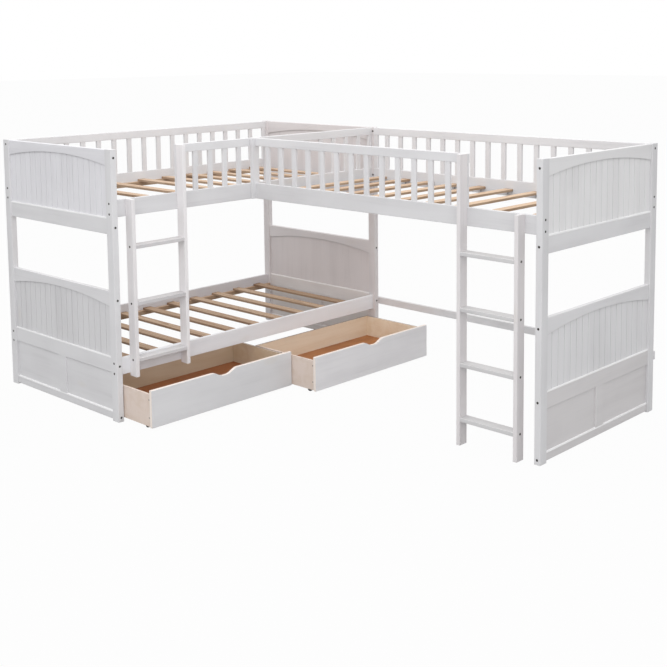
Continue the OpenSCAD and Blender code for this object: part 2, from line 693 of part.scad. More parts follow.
// finger scoop: half of a raised cosine down each side, with a straight floor between them
function scoop_side(s) = [for (i = [0 : 12]) let (t = i / 12)
  [s * (scoop_w / 2 - scoop_run * t), -scoop_d * (1 - cos(180 * t)) / 2]];
module scoop_outline() polygon(concat([[-scoop_w / 2, 2]], scoop_side(-1),
  [for (i = [12 : -1 : 0]) scoop_side(1)[i]], [[scoop_w / 2, 2]]));
module drawer_front() difference() {
  translate([-front_t, 0, front_z]) bar([front_t, front_w, front_h], 1);
  translate([-front_t - 1, front_w / 2, front_z + front_h])
    rotate([90, 0, 90]) linear_extrude(front_t + 2) scoop_outline();
}
wall_in = overhang + wall_t;              // inner face of a side wall, from the front's end
inside_w = front_w - 2 * wall_in;         // clear width between the side walls
slot_in = 6;                              // depth of the groove that holds the bottom
slot_play = 0.2;
corner_play = 0.1;
module drawer_walls() {
  wall_h = wall_top - wall_z;
  for (y = [overhang, front_w - wall_in]) difference() {
    translate([-drawer_d, y, wall_z]) cube([drawer_d - front_t, wall_t, wall_h]);
    bottom_slot();
  }
  difference() {
    translate([-drawer_d, wall_in + corner_play, wall_z]) cube([wall_t, inside_w - 2 * corner_play, wall_h]);
    bottom_slot();
  }
}
module bottom_slot()
  translate([-drawer_d + wall_t - slot_in - slot_play, wall_in - slot_in - slot_play, bottom_z - slot_play])
    cube([drawer_d, inside_w + 2 * (slot_in + slot_play), bottom_t + 2 * slot_play]);
module drawer_bottom()
  translate([-drawer_d + wall_t - slot_in, wall_in - slot_in, bottom_z])
    cube([drawer_d - wall_t + slot_in - front_t, inside_w + 2 * slot_in, bottom_t]);
// castors: a plate under the bottom, two ears and an axle
ear_t = 2;
ear_w = 16;
ear_drop = 6;                             // how far the ears reach below the axle
plate_l = 34;
fork_gap = 1;                             // clearance of a wheel between its ears
castor_side = 3;                          // clearance between a castor and the side wall
fork_w = wheel_w + 2 * fork_gap + 2 * ear_t;
castor_y = wall_in + castor_side + fork_w / 2;
castor_ys = [castor_y, front_w - castor_y];
castor_xs = [-castor_in, -drawer_d + castor_in];
module castor_fork() {
  plate_z = bottom_z - ear_t;
  ear_z = wheel_r - ear_drop;
  translate([-plate_l / 2, -fork_w / 2, plate_z]) cube([plate_l, fork_w, ear_t]);
  for (y = [-fork_w / 2, fork_w / 2 - ear_t])
    translate([-ear_w / 2, y, ear_z]) cube([ear_w, ear_t, plate_z + ear_t / 2 - ear_z]);
  translate([0, 0, wheel_r]) rotate([90, 0, 0]) cylinder(r = axle_r, h = fork_w + 1, center = true);
}
module castor_forks() for (x = castor_xs, y = castor_ys) translate([x, y, 0]) castor_fork();
module wheel() translate([0, 0, wheel_r]) rotate([90, 0, 0]) difference() {
  cylinder(r = wheel_r, h = wheel_w, center = true, $fn = 48);
  cylinder(r = axle_r + run_gap, h = wheel_w + 2, center = true);
}
module wheel_pair(x) for (y = castor_ys) translate([x, y, 0]) wheel();

module drawer_1_front() color(white) drawer_1() drawer_front();
module drawer_1_walls() color(ply) drawer_1() drawer_walls();
module drawer_1_bottom() color(brown) drawer_1() drawer_bottom();
module drawer_1_castor_forks() color(dark) drawer_1() castor_forks();
module drawer_1_front_wheels() color(dark) drawer_1() wheel_pair(castor_xs[0]);
module drawer_1_back_wheels() color(dark) drawer_1() wheel_pair(castor_xs[1]);
module drawer_2_front() color(white) drawer_2() drawer_front();
module drawer_2_walls() color(ply) drawer_2() drawer_walls();
module drawer_2_bottom() color(brown) drawer_2() drawer_bottom();
module drawer_2_castor_forks() color(dark) drawer_2() castor_forks();
module drawer_2_front_wheels() color(dark) drawer_2() wheel_pair(castor_xs[0]);
module drawer_2_back_wheels() color(dark) drawer_2() wheel_pair(castor_xs[1]);

near_end_posts();
near_end_top_rail();
near_end_upper_boarding();
near_end_waist_rail();
near_end_arch_rail();
near_end_lower_boarding();
near_end_base_frame();
corner_end_posts();
corner_end_top_rail();
corner_end_upper_boarding();
corner_end_waist_rail();
corner_end_arch_rail();
corner_end_lower_boarding();
corner_end_base_frame();
loft_end_posts();
loft_end_top_rail();
loft_end_upper_boarding();
loft_end_waist_rail();
loft_end_arch_rail();
loft_end_lower_boarding();
loft_end_base_frame();
bunk_upper_front_board();
bunk_upper_back_board();
bunk_lower_front_board();
bunk_lower_back_board();
loft_front_board();
loft_back_board();
junction_post();
bunk_ledgers();
loft_ledgers();
bunk_upper_slats();
bunk_lower_slats();
loft_slats();
bunk_back_guard_rail();
bunk_back_guard_bars();
bunk_front_guard_rail();
bunk_front_guard_bars();
loft_back_guard_rail();
loft_back_guard_bars();
loft_front_guard_rail();
loft_front_guard_bars();
bunk_ladder_stiles();
bunk_ladder_treads();
loft_ladder_stiles();
loft_ladder_treads();
back_stretcher();
bolts();
slat_screws();
drawer_1_front();
drawer_1_walls();
drawer_1_bottom();
drawer_1_castor_forks();
drawer_1_front_wheels();
drawer_1_back_wheels();
drawer_2_front();
drawer_2_walls();
drawer_2_bottom();
drawer_2_castor_forks();
drawer_2_front_wheels();
drawer_2_back_wheels();
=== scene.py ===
"""The looks of an L-shaped bunk bed: wood finishes, and detailed bolts, screws and castor wheels."""

import logging
import math
from dataclasses import dataclass, field, replace
from enum import Enum
from typing import Any, Mapping, Optional, Union

import bpy
import numpy as np
from mathutils import Matrix, Vector


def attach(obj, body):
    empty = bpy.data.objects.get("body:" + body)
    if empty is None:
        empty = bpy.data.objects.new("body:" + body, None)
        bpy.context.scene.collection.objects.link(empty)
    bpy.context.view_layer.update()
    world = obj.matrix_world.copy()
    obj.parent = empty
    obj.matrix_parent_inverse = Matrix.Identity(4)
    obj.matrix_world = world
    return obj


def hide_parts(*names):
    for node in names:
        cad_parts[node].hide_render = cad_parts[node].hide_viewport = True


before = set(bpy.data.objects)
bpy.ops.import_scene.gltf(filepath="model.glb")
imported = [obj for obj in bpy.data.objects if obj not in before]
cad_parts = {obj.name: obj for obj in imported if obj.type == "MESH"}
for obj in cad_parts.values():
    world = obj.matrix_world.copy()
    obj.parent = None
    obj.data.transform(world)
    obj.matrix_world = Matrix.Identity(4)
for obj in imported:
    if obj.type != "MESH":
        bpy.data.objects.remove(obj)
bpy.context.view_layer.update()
MM = 0.001
# a fastener's points deeper than this, in metres, are its shank's end and move with its length
TAIL_MARK = -0.010
Colour = tuple[float, float, float]
Triple = tuple[float, float, float]

log = logging.getLogger("bunk_bed")


# ---- shader maths ----


class Value:
    """A number or vector that flows between nodes; arithmetic on it adds Math nodes."""

    def __init__(self, graph: "Graph", socket: bpy.types.NodeSocket) -> None:
        """Wraps a socket.

        Args:
            graph: the material's graph that the socket belongs to.
            socket: an output socket.
        """
        self.graph = graph
        self.socket = socket

    def _math(self, operation: str, left: "Number", right: "Number" = 0.0) -> "Value":
        """Adds one Math node and returns what comes out of it."""
        return self.graph.out("ShaderNodeMath", {"operation": operation}, {0: left, 1: right})

    def __add__(self, other: "Number") -> "Value":
        """Sum."""
        return self._math("ADD", self, other)

    def __radd__(self, other: "Number") -> "Value":
        """Sum with the number first."""
        return self._math("ADD", other, self)

    def __sub__(self, other: "Number") -> "Value":
        """Difference."""
        return self._math("SUBTRACT", self, other)

    def __rsub__(self, other: "Number") -> "Value":
        """Difference with the number first."""
        return self._math("SUBTRACT", other, self)

    def __mul__(self, other: "Number") -> "Value":
        """Product."""
        return self._math("MULTIPLY", self, other)

    def __rmul__(self, other: "Number") -> "Value":
        """Product with the number first."""
        return self._math("MULTIPLY", other, self)

    def __truediv__(self, other: "Number") -> "Value":
        """Quotient."""
        return self._math("DIVIDE", self, other)

    def __abs__(self) -> "Value":
        """Size without sign."""
        return self._math("ABSOLUTE", self)

    def unary(self, operation: str) -> "Value":
        """One-input Math operation, such as SINE or FLOOR."""
        return self._math(operation, self)

    def ramp(self, low: float, high: float, out_low: float = 0.0, out_high: float = 1.0) -> "Value":
        """Smooth step: out_low below low, out_high above high, and a smooth curve between.

        Args:
            low: where the curve starts.
            high: where it ends.
            out_low: value below low.
            out_high: value above high.

        Returns:
            The mapped value.
        """
        return self.graph.out(
            "ShaderNodeMapRange",
            {"interpolation_type": "SMOOTHSTEP"},
            {"Value": self, "From Min": low, "From Max": high, "To Min": out_low, "To Max": out_high},
        )


Number = Union[Value, float]


class Graph:
    """The node graph of one material or of the world."""

    def __init__(self, owner: Union[bpy.types.Material, bpy.types.World]) -> None:
        """Clears the owner's graph.

        Args:
            owner: a new material or world.
        """
        self.owner = owner
        owner.use_nodes = True
        self.tree = owner.node_tree
        self.tree.nodes.clear()

    def node(
        self,
        kind: str,
        settings: Optional[Mapping[str, Any]] = None,
        inputs: Optional[Mapping[Union[str, int], Any]] = None,
    ) -> bpy.types.Node:
        """Adds a node of any type.

        Args:
            kind: the node's type, such as "ShaderNodeTexNoise".
            settings: attributes set first; "stops" holds a ramp's (place, colour) pairs.
            inputs: a value, or a Value to link, for each socket by name or index.

        Returns:
            The new node.
        """
        made = self.tree.nodes.new(kind)
        for key, setting in (settings or {}).items():
            if key == "stops":
                elements = made.color_ramp.elements
                while len(elements) > 1:
                    elements.remove(elements[-1])
                for i, (place, colour) in enumerate(setting):
                    element = elements[0] if i == 0 else elements.new(place)
                    element.position = place
                    element.color = (*colour, 1.0)
            else:
                setattr(made, key, setting)
        for key, given in (inputs or {}).items():
            if isinstance(given, Value):
                self.tree.links.new(given.socket, made.inputs[key])
            else:
                made.inputs[key].default_value = given
        return made

    def out(
        self,
        kind: str,
        settings: Optional[Mapping[str, Any]] = None,
        inputs: Optional[Mapping[Union[str, int], Any]] = None,
        output: Union[str, int] = 0,
    ) -> Value:
        """Adds a node and returns one of its outputs as a Value."""
        return Value(self, self.node(kind, settings, inputs).outputs[output])

    def point(self) -> Value:
        """The shaded point in the part's own frame, in metres."""
        return self.out("ShaderNodeTexCoord", output="Object")

    def axes(self, vector: Value) -> tuple[Value, Value, Value]:
        """Splits a vector into its three numbers."""
        split = self.node("ShaderNodeSeparateXYZ", {}, {0: vector})
        return tuple(Value(self, split.outputs[i]) for i in range(3))

    def mapped(self, point: Value, scale: Triple, shift: Triple = (0.0, 0.0, 0.0)) -> Value:
        """Stretches and shifts a point: point times scale, plus shift."""
        return self.out("ShaderNodeMapping", {}, {"Vector": point, "Scale": scale, "Location": shift})

    def noise(
        self, point: Value, scale: float = 1.0, detail: float = 3.0, rough: float = 0.55, bend: float = 0.0
    ) -> Value:
        """Cloudy noise from 0 to 1 at a point."""
        return self.out(
            "ShaderNodeTexNoise",
            {"noise_dimensions": "3D"},
            {"Vector": point, "Scale": scale, "Detail": detail, "Roughness": rough, "Distortion": bend},
        )

    def cells(self, point: Value, scale: float, jitter: float = 1.0) -> tuple[Value, Value]:
        """Distance to the nearest of scattered seeds, and a random number that belongs to that seed."""
        given = {"Vector": point, "Scale": scale, "Randomness": jitter}
        made = self.node("ShaderNodeTexVoronoi", {"feature": "F1"}, given)
        split = self.node("ShaderNodeSeparateColor", {}, {0: Value(self, made.outputs["Color"])})
        return Value(self, made.outputs["Distance"]), Value(self, split.outputs[0])

    def blend(self, factor: Number, first: Union[Value, Colour], second: Union[Value, Colour]) -> Value:
        """Mixes two colours: first at factor 0 and second at factor 1."""
        pick = [c if isinstance(c, Value) else (*c, 1.0) for c in (first, second)]
        return self.out(
            "ShaderNodeMix",
            {"data_type": "RGBA", "blend_type": "MIX", "clamp_factor": True},
            {0: factor, 6: pick[0], 7: pick[1]},
            output=2,
        )

    def rounding(self, radius: float) -> tuple[Value, Value, Value]:
        """What rounding the sharp edges over a radius would do to the true normal.

        Args:
            radius: how far from an edge the rounding reaches.

        Returns:
            Nearness to an edge, as 1 minus the cosine between the two normals; how far the rounded normal
            tilts up; and the true normal's own height.
        """
        rounded = self.out("ShaderNodeBevel", {"samples": 4}, {"Radius": radius})
        plain = self.out("ShaderNodeNewGeometry", output="Normal")
        dot = {"operation": "DOT_PRODUCT"}
        same = self.out("ShaderNodeVectorMath", dot, {0: rounded, 1: plain}, output="Value")
        height = self.axes(plain)[2]
        return 1.0 - same, self.axes(rounded)[2] - height, height

    def edges(self, radius: float) -> Value:
        """Nearness to a sharp edge: 1 minus the cosine between the true and the rounded normal."""
        return self.rounding(radius)[0]

    def bump(self, height: Value, strength: float, distance: float) -> Value:
        """A normal tilted by a height field."""
        return self.out("ShaderNodeBump", {}, {"Strength": strength, "Distance": distance, "Height": height})

    def surface(self, **sockets: Any) -> bpy.types.Material:
        """Closes the graph with one Principled shader.

        Args:
            **sockets: values or links by socket name, with _ for a space.

        Returns:
            The finished material.
        """
        given = {key.replace("_", " "): value for key, value in sockets.items()}
        shader = self.node("ShaderNodeBsdfPrincipled", {}, given)
        self.node("ShaderNodeOutputMaterial", {}, {"Surface": Value(self, shader.outputs[0])})
        return self.owner


# ---- finishes ----


class Grain(Enum):
    """The direction in which a piece's wood grain runs."""

    X = 0
    Y = 1
    Z = 2

    def stretch(self, along: float, across: float) -> Triple:
        """Pattern density per metre along and across the grain, as a scale for a Mapping node."""
        return tuple(along if i == self.value else across for i in range(3))

    def side(self) -> int:
        """The axis across the grain that a flat board is wide in."""
        return {0: 1, 1: 0, 2: 0}[self.value]


@dataclass(frozen=True)
class Core:
    """The inside of a flat board's thickness, which shows only on the board's narrow edges."""

    axis: Grain
    middle: float
    half: float

    def mask(self, g: Graph, point: Value) -> Value:
        """1 between the board's faces and 0 on them: a step on the distance from its middle plane."""
        away = abs(g.axes(point)[self.axis.value] - self.middle)
        return away.ramp(self.half - 1.4 * MM, self.half - 0.5 * MM, 1.0, 0.0)


@dataclass(frozen=True)
class Arch:
    """A painted shadow on a boarding under an arched rail, whose lower edge is an arc of a circle."""

    across: Grain
    middle: float
    top: float
    radius: float

    def mask(self, g: Graph, point: Value) -> Value:
        """1 at the arc and 0 further in: a step on the distance from the arc's centre."""
        parts = g.axes(point)
        aside, up = parts[self.across.value] - self.middle, parts[2] - (self.top - self.radius)
        away = (aside * aside + up * up).unary("SQRT")
        return away.ramp(self.radius - 11.0 * MM, self.radius - 1.0 * MM)


@dataclass(frozen=True)
class Well:
    """The space inside a drawer's walls: the inner faces of back and sides, and the walls' top."""

    back: float
    near: float
    far: float
    top: float

    def inner(self, g: Graph, point: Value) -> Value:
        """1 on the walls' inner faces and 0 on the outer ones: steps 1 mm outside each inner face."""
        x, y, _ = g.axes(point)
        low, high = 0.6 * MM, 1.2 * MM
        sides = y.ramp(self.near - high, self.near - low) * y.ramp(self.far + low, self.far + high, 1.0, 0.0)
        return x.ramp(self.back - high, self.back - low) * sides

    def lip(self, g: Graph, point: Value) -> Value:
        """1 on the outer halves of the back and far walls' top edges."""
        x, y, z = g.axes(point)
        behind = x.ramp(self.back - 6.0 * MM, self.back - 4.5 * MM, 1.0, 0.0)
        beyond = y.ramp(self.far + 4.5 * MM, self.far + 6.0 * MM)
        return (1.0 - (1.0 - behind) * (1.0 - beyond)) * z.ramp(self.top - 1.2 * MM, self.top - 0.4 * MM)


@dataclass(frozen=True)
class Paint:
    """White wash brushed over wood: a pale body with thin streaks, faint knots, and worn edges painted paler
    as a highlight.

    Cut wood shows inside bare; painted shade lies under the arch and on lower edges, and a painted highlight
    on upper edges and under each ledge's top.
    """

    body: Colour = (0.712, 0.708, 0.722)
    thin: Colour = (0.590, 0.582, 0.596)
    knot: Colour = (0.640, 0.600, 0.555)
    # worn edges, paler than the body, which also paints a highlight on them
    edge_wear_and_highlight: Colour = (0.800, 0.795, 0.790)
    # painted highlight colour for upper edges and for lines under ledge tops
    lit: Colour = (0.920, 0.920, 0.925)
    painted_shade: Colour = (0.430, 0.425, 0.425)
    # painted shade on lower edges, and the painted shadow under an arch
    worn: Colour = (0.640, 0.580, 0.530)
    wood: Colour = (0.900, 0.810, 0.745)
    gloss: float = 0.44
    streaky: float = 1.0
    bare: Optional[Core] = None
    under: Optional[Arch] = None
    # heights of painted highlight lines, one just under each ledge's top
    ledges: tuple[float, ...] = ()
    ledge_lit: float = 1.0

    def toned(self, tone: Colour) -> "Paint":
        """The same paint made lighter or darker, which paints light and shade: body and thin colour times a
        tone, by channel.
        """
        body, thin = (tuple(c * t for c, t in zip(colour, tone)) for colour in (self.body, self.thin))
        return replace(self, body=body, thin=thin)

    def made(self, name: str, grain: Grain, seed: float) -> bpy.types.Material:
        """Builds the material.

        Colour is the body, mixed towards the thin tone by long streaks, wider bands and slow clouds, towards
        the knot tone near scattered seeds, and towards a paler tone along edges, which is wear in patches
        and a painted highlight. A painted highlight in the lit tone lies on an upright face's upper edges
        and on a line under each ledge's top, and painted shade lies on its lower edges and under an arch.
        The narrow edges inside a bare core show bare cut wood.

        Args:
            name: the material's name.
            grain: the direction of the grain.
            seed: shifts the pattern, so that no two nodes share one.

        Returns:
            The material.
        """
        g = Graph(bpy.data.materials.new(name))
        raw = g.point()
        p = g.mapped(raw, (1.0, 1.0, 1.0), (seed, seed * 0.37, seed * 0.61))
        clouds = g.noise(p, scale=3.4, detail=2.0)
        streaks = g.noise(g.mapped(p, grain.stretch(2.2, 62.0)), detail=4.0, rough=0.62)
        bands = g.noise(g.mapped(p, grain.stretch(1.1, 14.0)), detail=2.0, rough=0.5)
        fibres = g.noise(g.mapped(p, grain.stretch(9.0, 420.0)), detail=2.0, rough=0.5)
        thin = streaks.ramp(0.50, 0.76) * clouds.ramp(0.38, 0.62, 0.25, 1.0) * (0.34 * self.streaky)
        thin = thin + bands.ramp(0.40, 0.72) * (0.30 * self.streaky) + clouds.ramp(0.42, 0.70) * 0.20
        thin = thin + fibres.ramp(0.55, 0.85) * 0.14
        away, luck = g.cells(g.mapped(p, grain.stretch(2.4, 6.5)), 1.0)
        knot = away.ramp(0.05, 0.19, 1.0, 0.0) * luck.ramp(0.62, 0.66)
        patch = g.noise(p, scale=38.0, detail=3.0)
        near, tilt, height = g.rounding(0.0032)
        # edges paler in patches: wear, and a painted highlight
        edge_wear_and_highlight_mask = near.ramp(0.01, 0.22) * patch.ramp(0.36, 0.70, 0.30, 1.0)
        upright = 1.0 - abs(height)
        # painted highlight: an upright face's upper edges paler, as if lit from above
        ledge = tilt.ramp(0.05, 0.40) * upright
        # painted shade: an upright face's lower edges darker, as if shaded from above
        below = tilt.ramp(-0.40, -0.05, 1.0, 0.0) * upright
        colour = g.blend(thin, self.body, self.thin)
        colour = g.blend(knot * 0.34, colour, self.knot)
        colour = g.blend(edge_wear_and_highlight_mask * 0.35, colour, self.edge_wear_and_highlight)
        colour = g.blend(ledge * 0.80, colour, self.lit)
        colour = g.blend(below * 0.35, colour, self.painted_shade)
        # painted shadow cast by the arched rail onto the boarding
        if self.under is not None:
            colour = g.blend(self.under.mask(g, raw) * 0.34, colour, self.painted_shade)
        level = g.axes(raw)[2] if self.ledges else None
        # painted highlight: a pale line just under each ledge's top
        for top in self.ledges:
            lip = level.ramp(top - 8.5 * MM, top - 5.5 * MM) * level.ramp(top, top + 1.0 * MM, 1.0, 0.0)
            lip = lip * clouds.ramp(0.30, 0.60, 0.6, 0.95) * self.ledge_lit
            colour = g.blend(lip, colour, self.lit)
        if self.bare is not None:
            # bare cut wood on the core's narrow edges
            sawn_and_shade = g.blend(fibres.ramp(0.35, 0.75) * 0.35, self.wood, self.worn)
            colour = g.blend(self.bare.mask(g, raw), colour, sawn_and_shade)
        rough = self.gloss + streaks * 0.10 + fibres * 0.06 + edge_wear_and_highlight_mask * 0.12
        relief = fibres * 0.55 + streaks * 0.35 + knot * 0.20
        return g.surface(
            Base_Color=colour, Roughness=rough, Normal=g.bump(relief, 0.22, 0.0006),
            Specular_IOR_Level=0.42, Coat_Weight=0.06, Coat_Roughness=0.35,
        )


@dataclass(frozen=True)
class Pine:
    """Bare planed pine: pale wood with darker ring lines, brown knots and a tone of its own for every strip.

    Faces that look sideways are darker, as painted shade, and the ends near the boards carry a painted
    shadow: end is the place of that end along the grain, and the wood lies from it along way, which is 1 or
    -1.
    """

    pale: Colour = (0.640, 0.490, 0.365)
    ring: Colour = (0.420, 0.275, 0.175)
    knot: Colour = (0.200, 0.100, 0.050)
    # painted shade on sideways faces and at the ends near the boards
    sawn_and_shade: Colour = (0.330, 0.210, 0.130)
    pitch: float = 0.188
    end: Optional[float] = None
    way: float = 1.0

    def made(self, name: str, grain: Grain, seed: float) -> bpy.types.Material:
        """Builds the material.

        The rings are the fraction of (distance across times density + slow noise + a pull near knots), made
        a soft saw tooth. Each strip of the pitch gets a random number that shifts its rings and its tone.

        Args:
            name: the material's name.
            grain: the direction of the grain.
            seed: shifts the pattern.

        Returns:
            The material.
        """
        g = Graph(bpy.data.materials.new(name))
        raw = g.point()
        strip = (g.axes(raw)[grain.side()] / self.pitch + 0.5 + seed).unary("FLOOR")
        own = g.out("ShaderNodeTexWhiteNoise", {"noise_dimensions": "1D"}, {"W": strip + seed})
        moved = g.out("ShaderNodeCombineXYZ", {}, {0: own * 7.0, 1: own * 5.0, 2: own * 3.0})
        p = g.out("ShaderNodeVectorMath", {"operation": "ADD"}, {0: raw, 1: moved})
        away, luck = g.cells(g.mapped(p, grain.stretch(3.2, 11.0)), 1.0)
        near = away.ramp(0.02, 0.26, 1.0, 0.0) * luck.ramp(0.66, 0.70)
        drift = g.noise(g.mapped(p, grain.stretch(1.1, 9.0)), detail=2.0)
        across = g.axes(p)[grain.side()] * 46.0 + drift * 5.5 + near * 1.6
        saw = across.unary("FRACT")
        ring = saw.ramp(0.30, 0.86) * saw.ramp(0.90, 1.0, 1.0, 0.0)
        fibres = g.noise(g.mapped(p, grain.stretch(14.0, 520.0)), detail=2.0)
        tone = own.ramp(0.0, 1.0, -0.10, 0.22) + drift * 0.25
        colour = g.blend(ring * 0.62 + tone, self.pale, self.ring)
        colour = g.blend(fibres.ramp(0.55, 0.90) * 0.35, colour, self.ring)
        colour = g.blend(away.ramp(0.03, 0.12, 1.0, 0.0) * luck.ramp(0.66, 0.70), colour, self.knot)
        dirt = g.edges(0.0012).ramp(0.02, 0.25) * g.noise(raw, scale=45.0).ramp(0.42, 0.66)
        colour = g.blend(dirt * 0.35, colour, self.ring)
        # painted shade: faces that look sideways darker than upward ones
        height = g.axes(g.out("ShaderNodeNewGeometry", output="Normal"))[2]
        colour = g.blend((1.0 - abs(height)).ramp(0.5, 0.9) * 0.55, colour, self.sawn_and_shade)
        # painted shadow at the ends next to the boards
        if self.end is not None:
            from_end = (g.axes(raw)[grain.value] - self.end) * self.way
            reach = from_end.ramp(2.0 * MM, 34.0 * MM, 1.0, 0.0)
            colour = g.blend(reach * own.ramp(0.0, 1.0, 0.25, 0.8), colour, self.sawn_and_shade)
        return g.surface(
            Base_Color=colour, Roughness=0.58 + fibres * 0.16 - near * 0.08,
            Normal=g.bump(fibres * 0.6 + ring * 0.4, 0.30, 0.0006), Specular_IOR_Level=0.35,
        )


@dataclass(frozen=True)
class Ply:
    """Pale lacquered birch board with short dark flecks, and a tone of its own on the inner faces that
    paints the light and shade inside the drawer.
    """

    well: Well
    pale: Colour = (0.730, 0.620, 0.555)
    warm: Colour = (0.670, 0.550, 0.465)
    # inner faces' tone: painted light and shade inside the drawer
    inside: Colour = (0.870, 0.760, 0.610)
    fleck: Colour = (0.560, 0.390, 0.270)
    # darker brown on the outer halves of the back and far walls' tops
    top_dark: Colour = (0.130, 0.095, 0.070)

    def made(self, name: str, grain: Grain, seed: float) -> bpy.types.Material:
        """Builds the material.

        Broad warm bands and short flecks along the grain, a tone of its own on the inner faces that is
        painted light and shade, worn edges, and a darker brown on the outer halves of the back and far
        walls' tops.

        Args:
            name: the material's name.
            grain: the direction of the grain.
            seed: shifts the pattern.

        Returns:
            The material.
        """
        g = Graph(bpy.data.materials.new(name))
        raw = g.point()
        p = g.mapped(raw, (1.0, 1.0, 1.0), (seed, seed * 0.53, seed * 0.29))
        bands = g.noise(g.mapped(p, grain.stretch(1.6, 17.0)), detail=3.0, bend=0.6)
        flecks = g.noise(g.mapped(p, grain.stretch(48.0, 620.0)), detail=2.0, rough=0.6)
        band = bands.ramp(0.38, 0.70)
        deep = tuple(c * f for c, f in zip(self.inside, (0.93, 0.89, 0.84)))
        outer = g.blend(band * 0.75, self.pale, self.warm)
        # inner faces take their own tone: painted light and shade
        colour = g.blend(self.well.inner(g, raw), outer, g.blend(band, self.inside, deep))
        colour = g.blend(flecks.ramp(0.60, 0.82) * 0.40, colour, self.fleck)
        colour = g.blend(self.well.lip(g, raw) * 0.85, colour, self.top_dark)
        edge = g.edges(0.0010).ramp(0.02, 0.25) * g.noise(p, scale=60.0).ramp(0.40, 0.66)
        colour = g.blend(edge * 0.45, colour, self.fleck)
        return g.surface(
            Base_Color=colour, Roughness=0.46 + flecks * 0.14,
            Normal=g.bump(flecks + bands * 0.3, 0.18, 0.0004), Specular_IOR_Level=0.40,
        )


@dataclass(frozen=True)
class Hardboard:
    """Orange-brown pressed board: dense short fibres in two tones, smooth on top."""

    body: Colour = (0.440, 0.180, 0.062)
    dark: Colour = (0.290, 0.105, 0.036)
    pale: Colour = (0.560, 0.290, 0.125)

    def made(self, name: str, grain: Grain, seed: float) -> bpy.types.Material:
        """Builds the material: clouds between two browns with pale fibres on top."""
        g = Graph(bpy.data.materials.new(name))
        p = g.mapped(g.point(), (1.0, 1.0, 1.0), (seed, seed * 0.41, 0.0))
        clouds = g.noise(g.mapped(p, grain.stretch(3.0, 9.0)), detail=4.0, rough=0.6)
        fibres = g.noise(g.mapped(p, grain.stretch(170.0, 420.0)), detail=3.0, bend=1.2)
        colour = g.blend(clouds.ramp(0.35, 0.70) * 0.8, self.body, self.dark)
        colour = g.blend(fibres.ramp(0.56, 0.80) * 0.40, colour, self.pale)
        return g.surface(
            Base_Color=colour, Roughness=0.42 + fibres * 0.18, Normal=g.bump(fibres, 0.16, 0.0004),
            Specular_IOR_Level=0.45,
        )


@dataclass(frozen=True)
class Steel:
    """Dark plated steel of the bolts and screws, with a brighter worn rim."""

    body: Colour = (0.060, 0.055, 0.052)
    bright: Colour = (0.230, 0.215, 0.200)

    def made(self, name: str, grain: Grain, seed: float) -> bpy.types.Material:
        """Builds the material: dark plating, speckled, bright along edges."""
        g = Graph(bpy.data.materials.new(name))
        p = g.point()
        speck = g.noise(p, scale=900.0, detail=3.0)
        slow = g.noise(p, scale=55.0 + seed, detail=2.0)
        rim = g.edges(0.0005).ramp(0.01, 0.20)
        colour = g.blend(rim * 0.65 + speck.ramp(0.60, 0.80) * 0.15, self.body, self.bright)
        return g.surface(
            Base_Color=colour, Metallic=0.82, Roughness=0.36 + slow * 0.20 + speck * 0.08,
            Normal=g.bump(speck, 0.10, 0.0001),
        )


@dataclass(frozen=True)
class Nylon:
    """Moulded black nylon or rubber: nearly even, with a fine texture and scuffs."""

    body: Colour = (0.030, 0.030, 0.031)
    scuff: Colour = (0.120, 0.115, 0.110)
    rough: float = 0.46

    def made(self, name: str, grain: Grain, seed: float) -> bpy.types.Material:
        """Builds the material: dark body with pale scuffs on edges and in patches."""
        g = Graph(bpy.data.materials.new(name))
        p = g.point()
        fine = g.noise(p, scale=1400.0, detail=2.0)
        patch = g.noise(p, scale=70.0 + seed, detail=4.0, rough=0.65)
        scuffs = patch.ramp(0.56, 0.74) * 0.45 + g.edges(0.0008).ramp(0.02, 0.30) * 0.35
        return g.surface(
            Base_Color=g.blend(scuffs, self.body, self.scuff),
            Roughness=self.rough + fine * 0.10 + scuffs * 0.15, Normal=g.bump(fine, 0.14, 0.0002),
        )


Finish = Union[Paint, Pine, Ply, Hardboard, Steel, Nylon]


@dataclass
class Workshop:
    """Makes materials and puts them on nodes and pieces, each with a seed of its own."""

    made: int = 0

    def material(self, finish: Finish, name: str, grain: Grain) -> bpy.types.Material:
        """A material of a finish, with the next seed."""
        self.made += 1
        return finish.made(f"{type(finish).__name__.lower()}_{name}", grain, 1.7 * self.made)

    def dress(self, node: str, finish: Finish, grain: Grain) -> None:
        """Gives a carried-over node its material.

        Args:
            node: the node's name.
            finish: what it is made of.
            grain: the direction of its grain.
        """
        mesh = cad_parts[node].data
        mesh.materials.clear()
        mesh.materials.append(self.material(finish, node, grain))
        log.info("dressed %s", node)


# ---- sizes, repeated from the solids, in millimetres in the part's frame ----


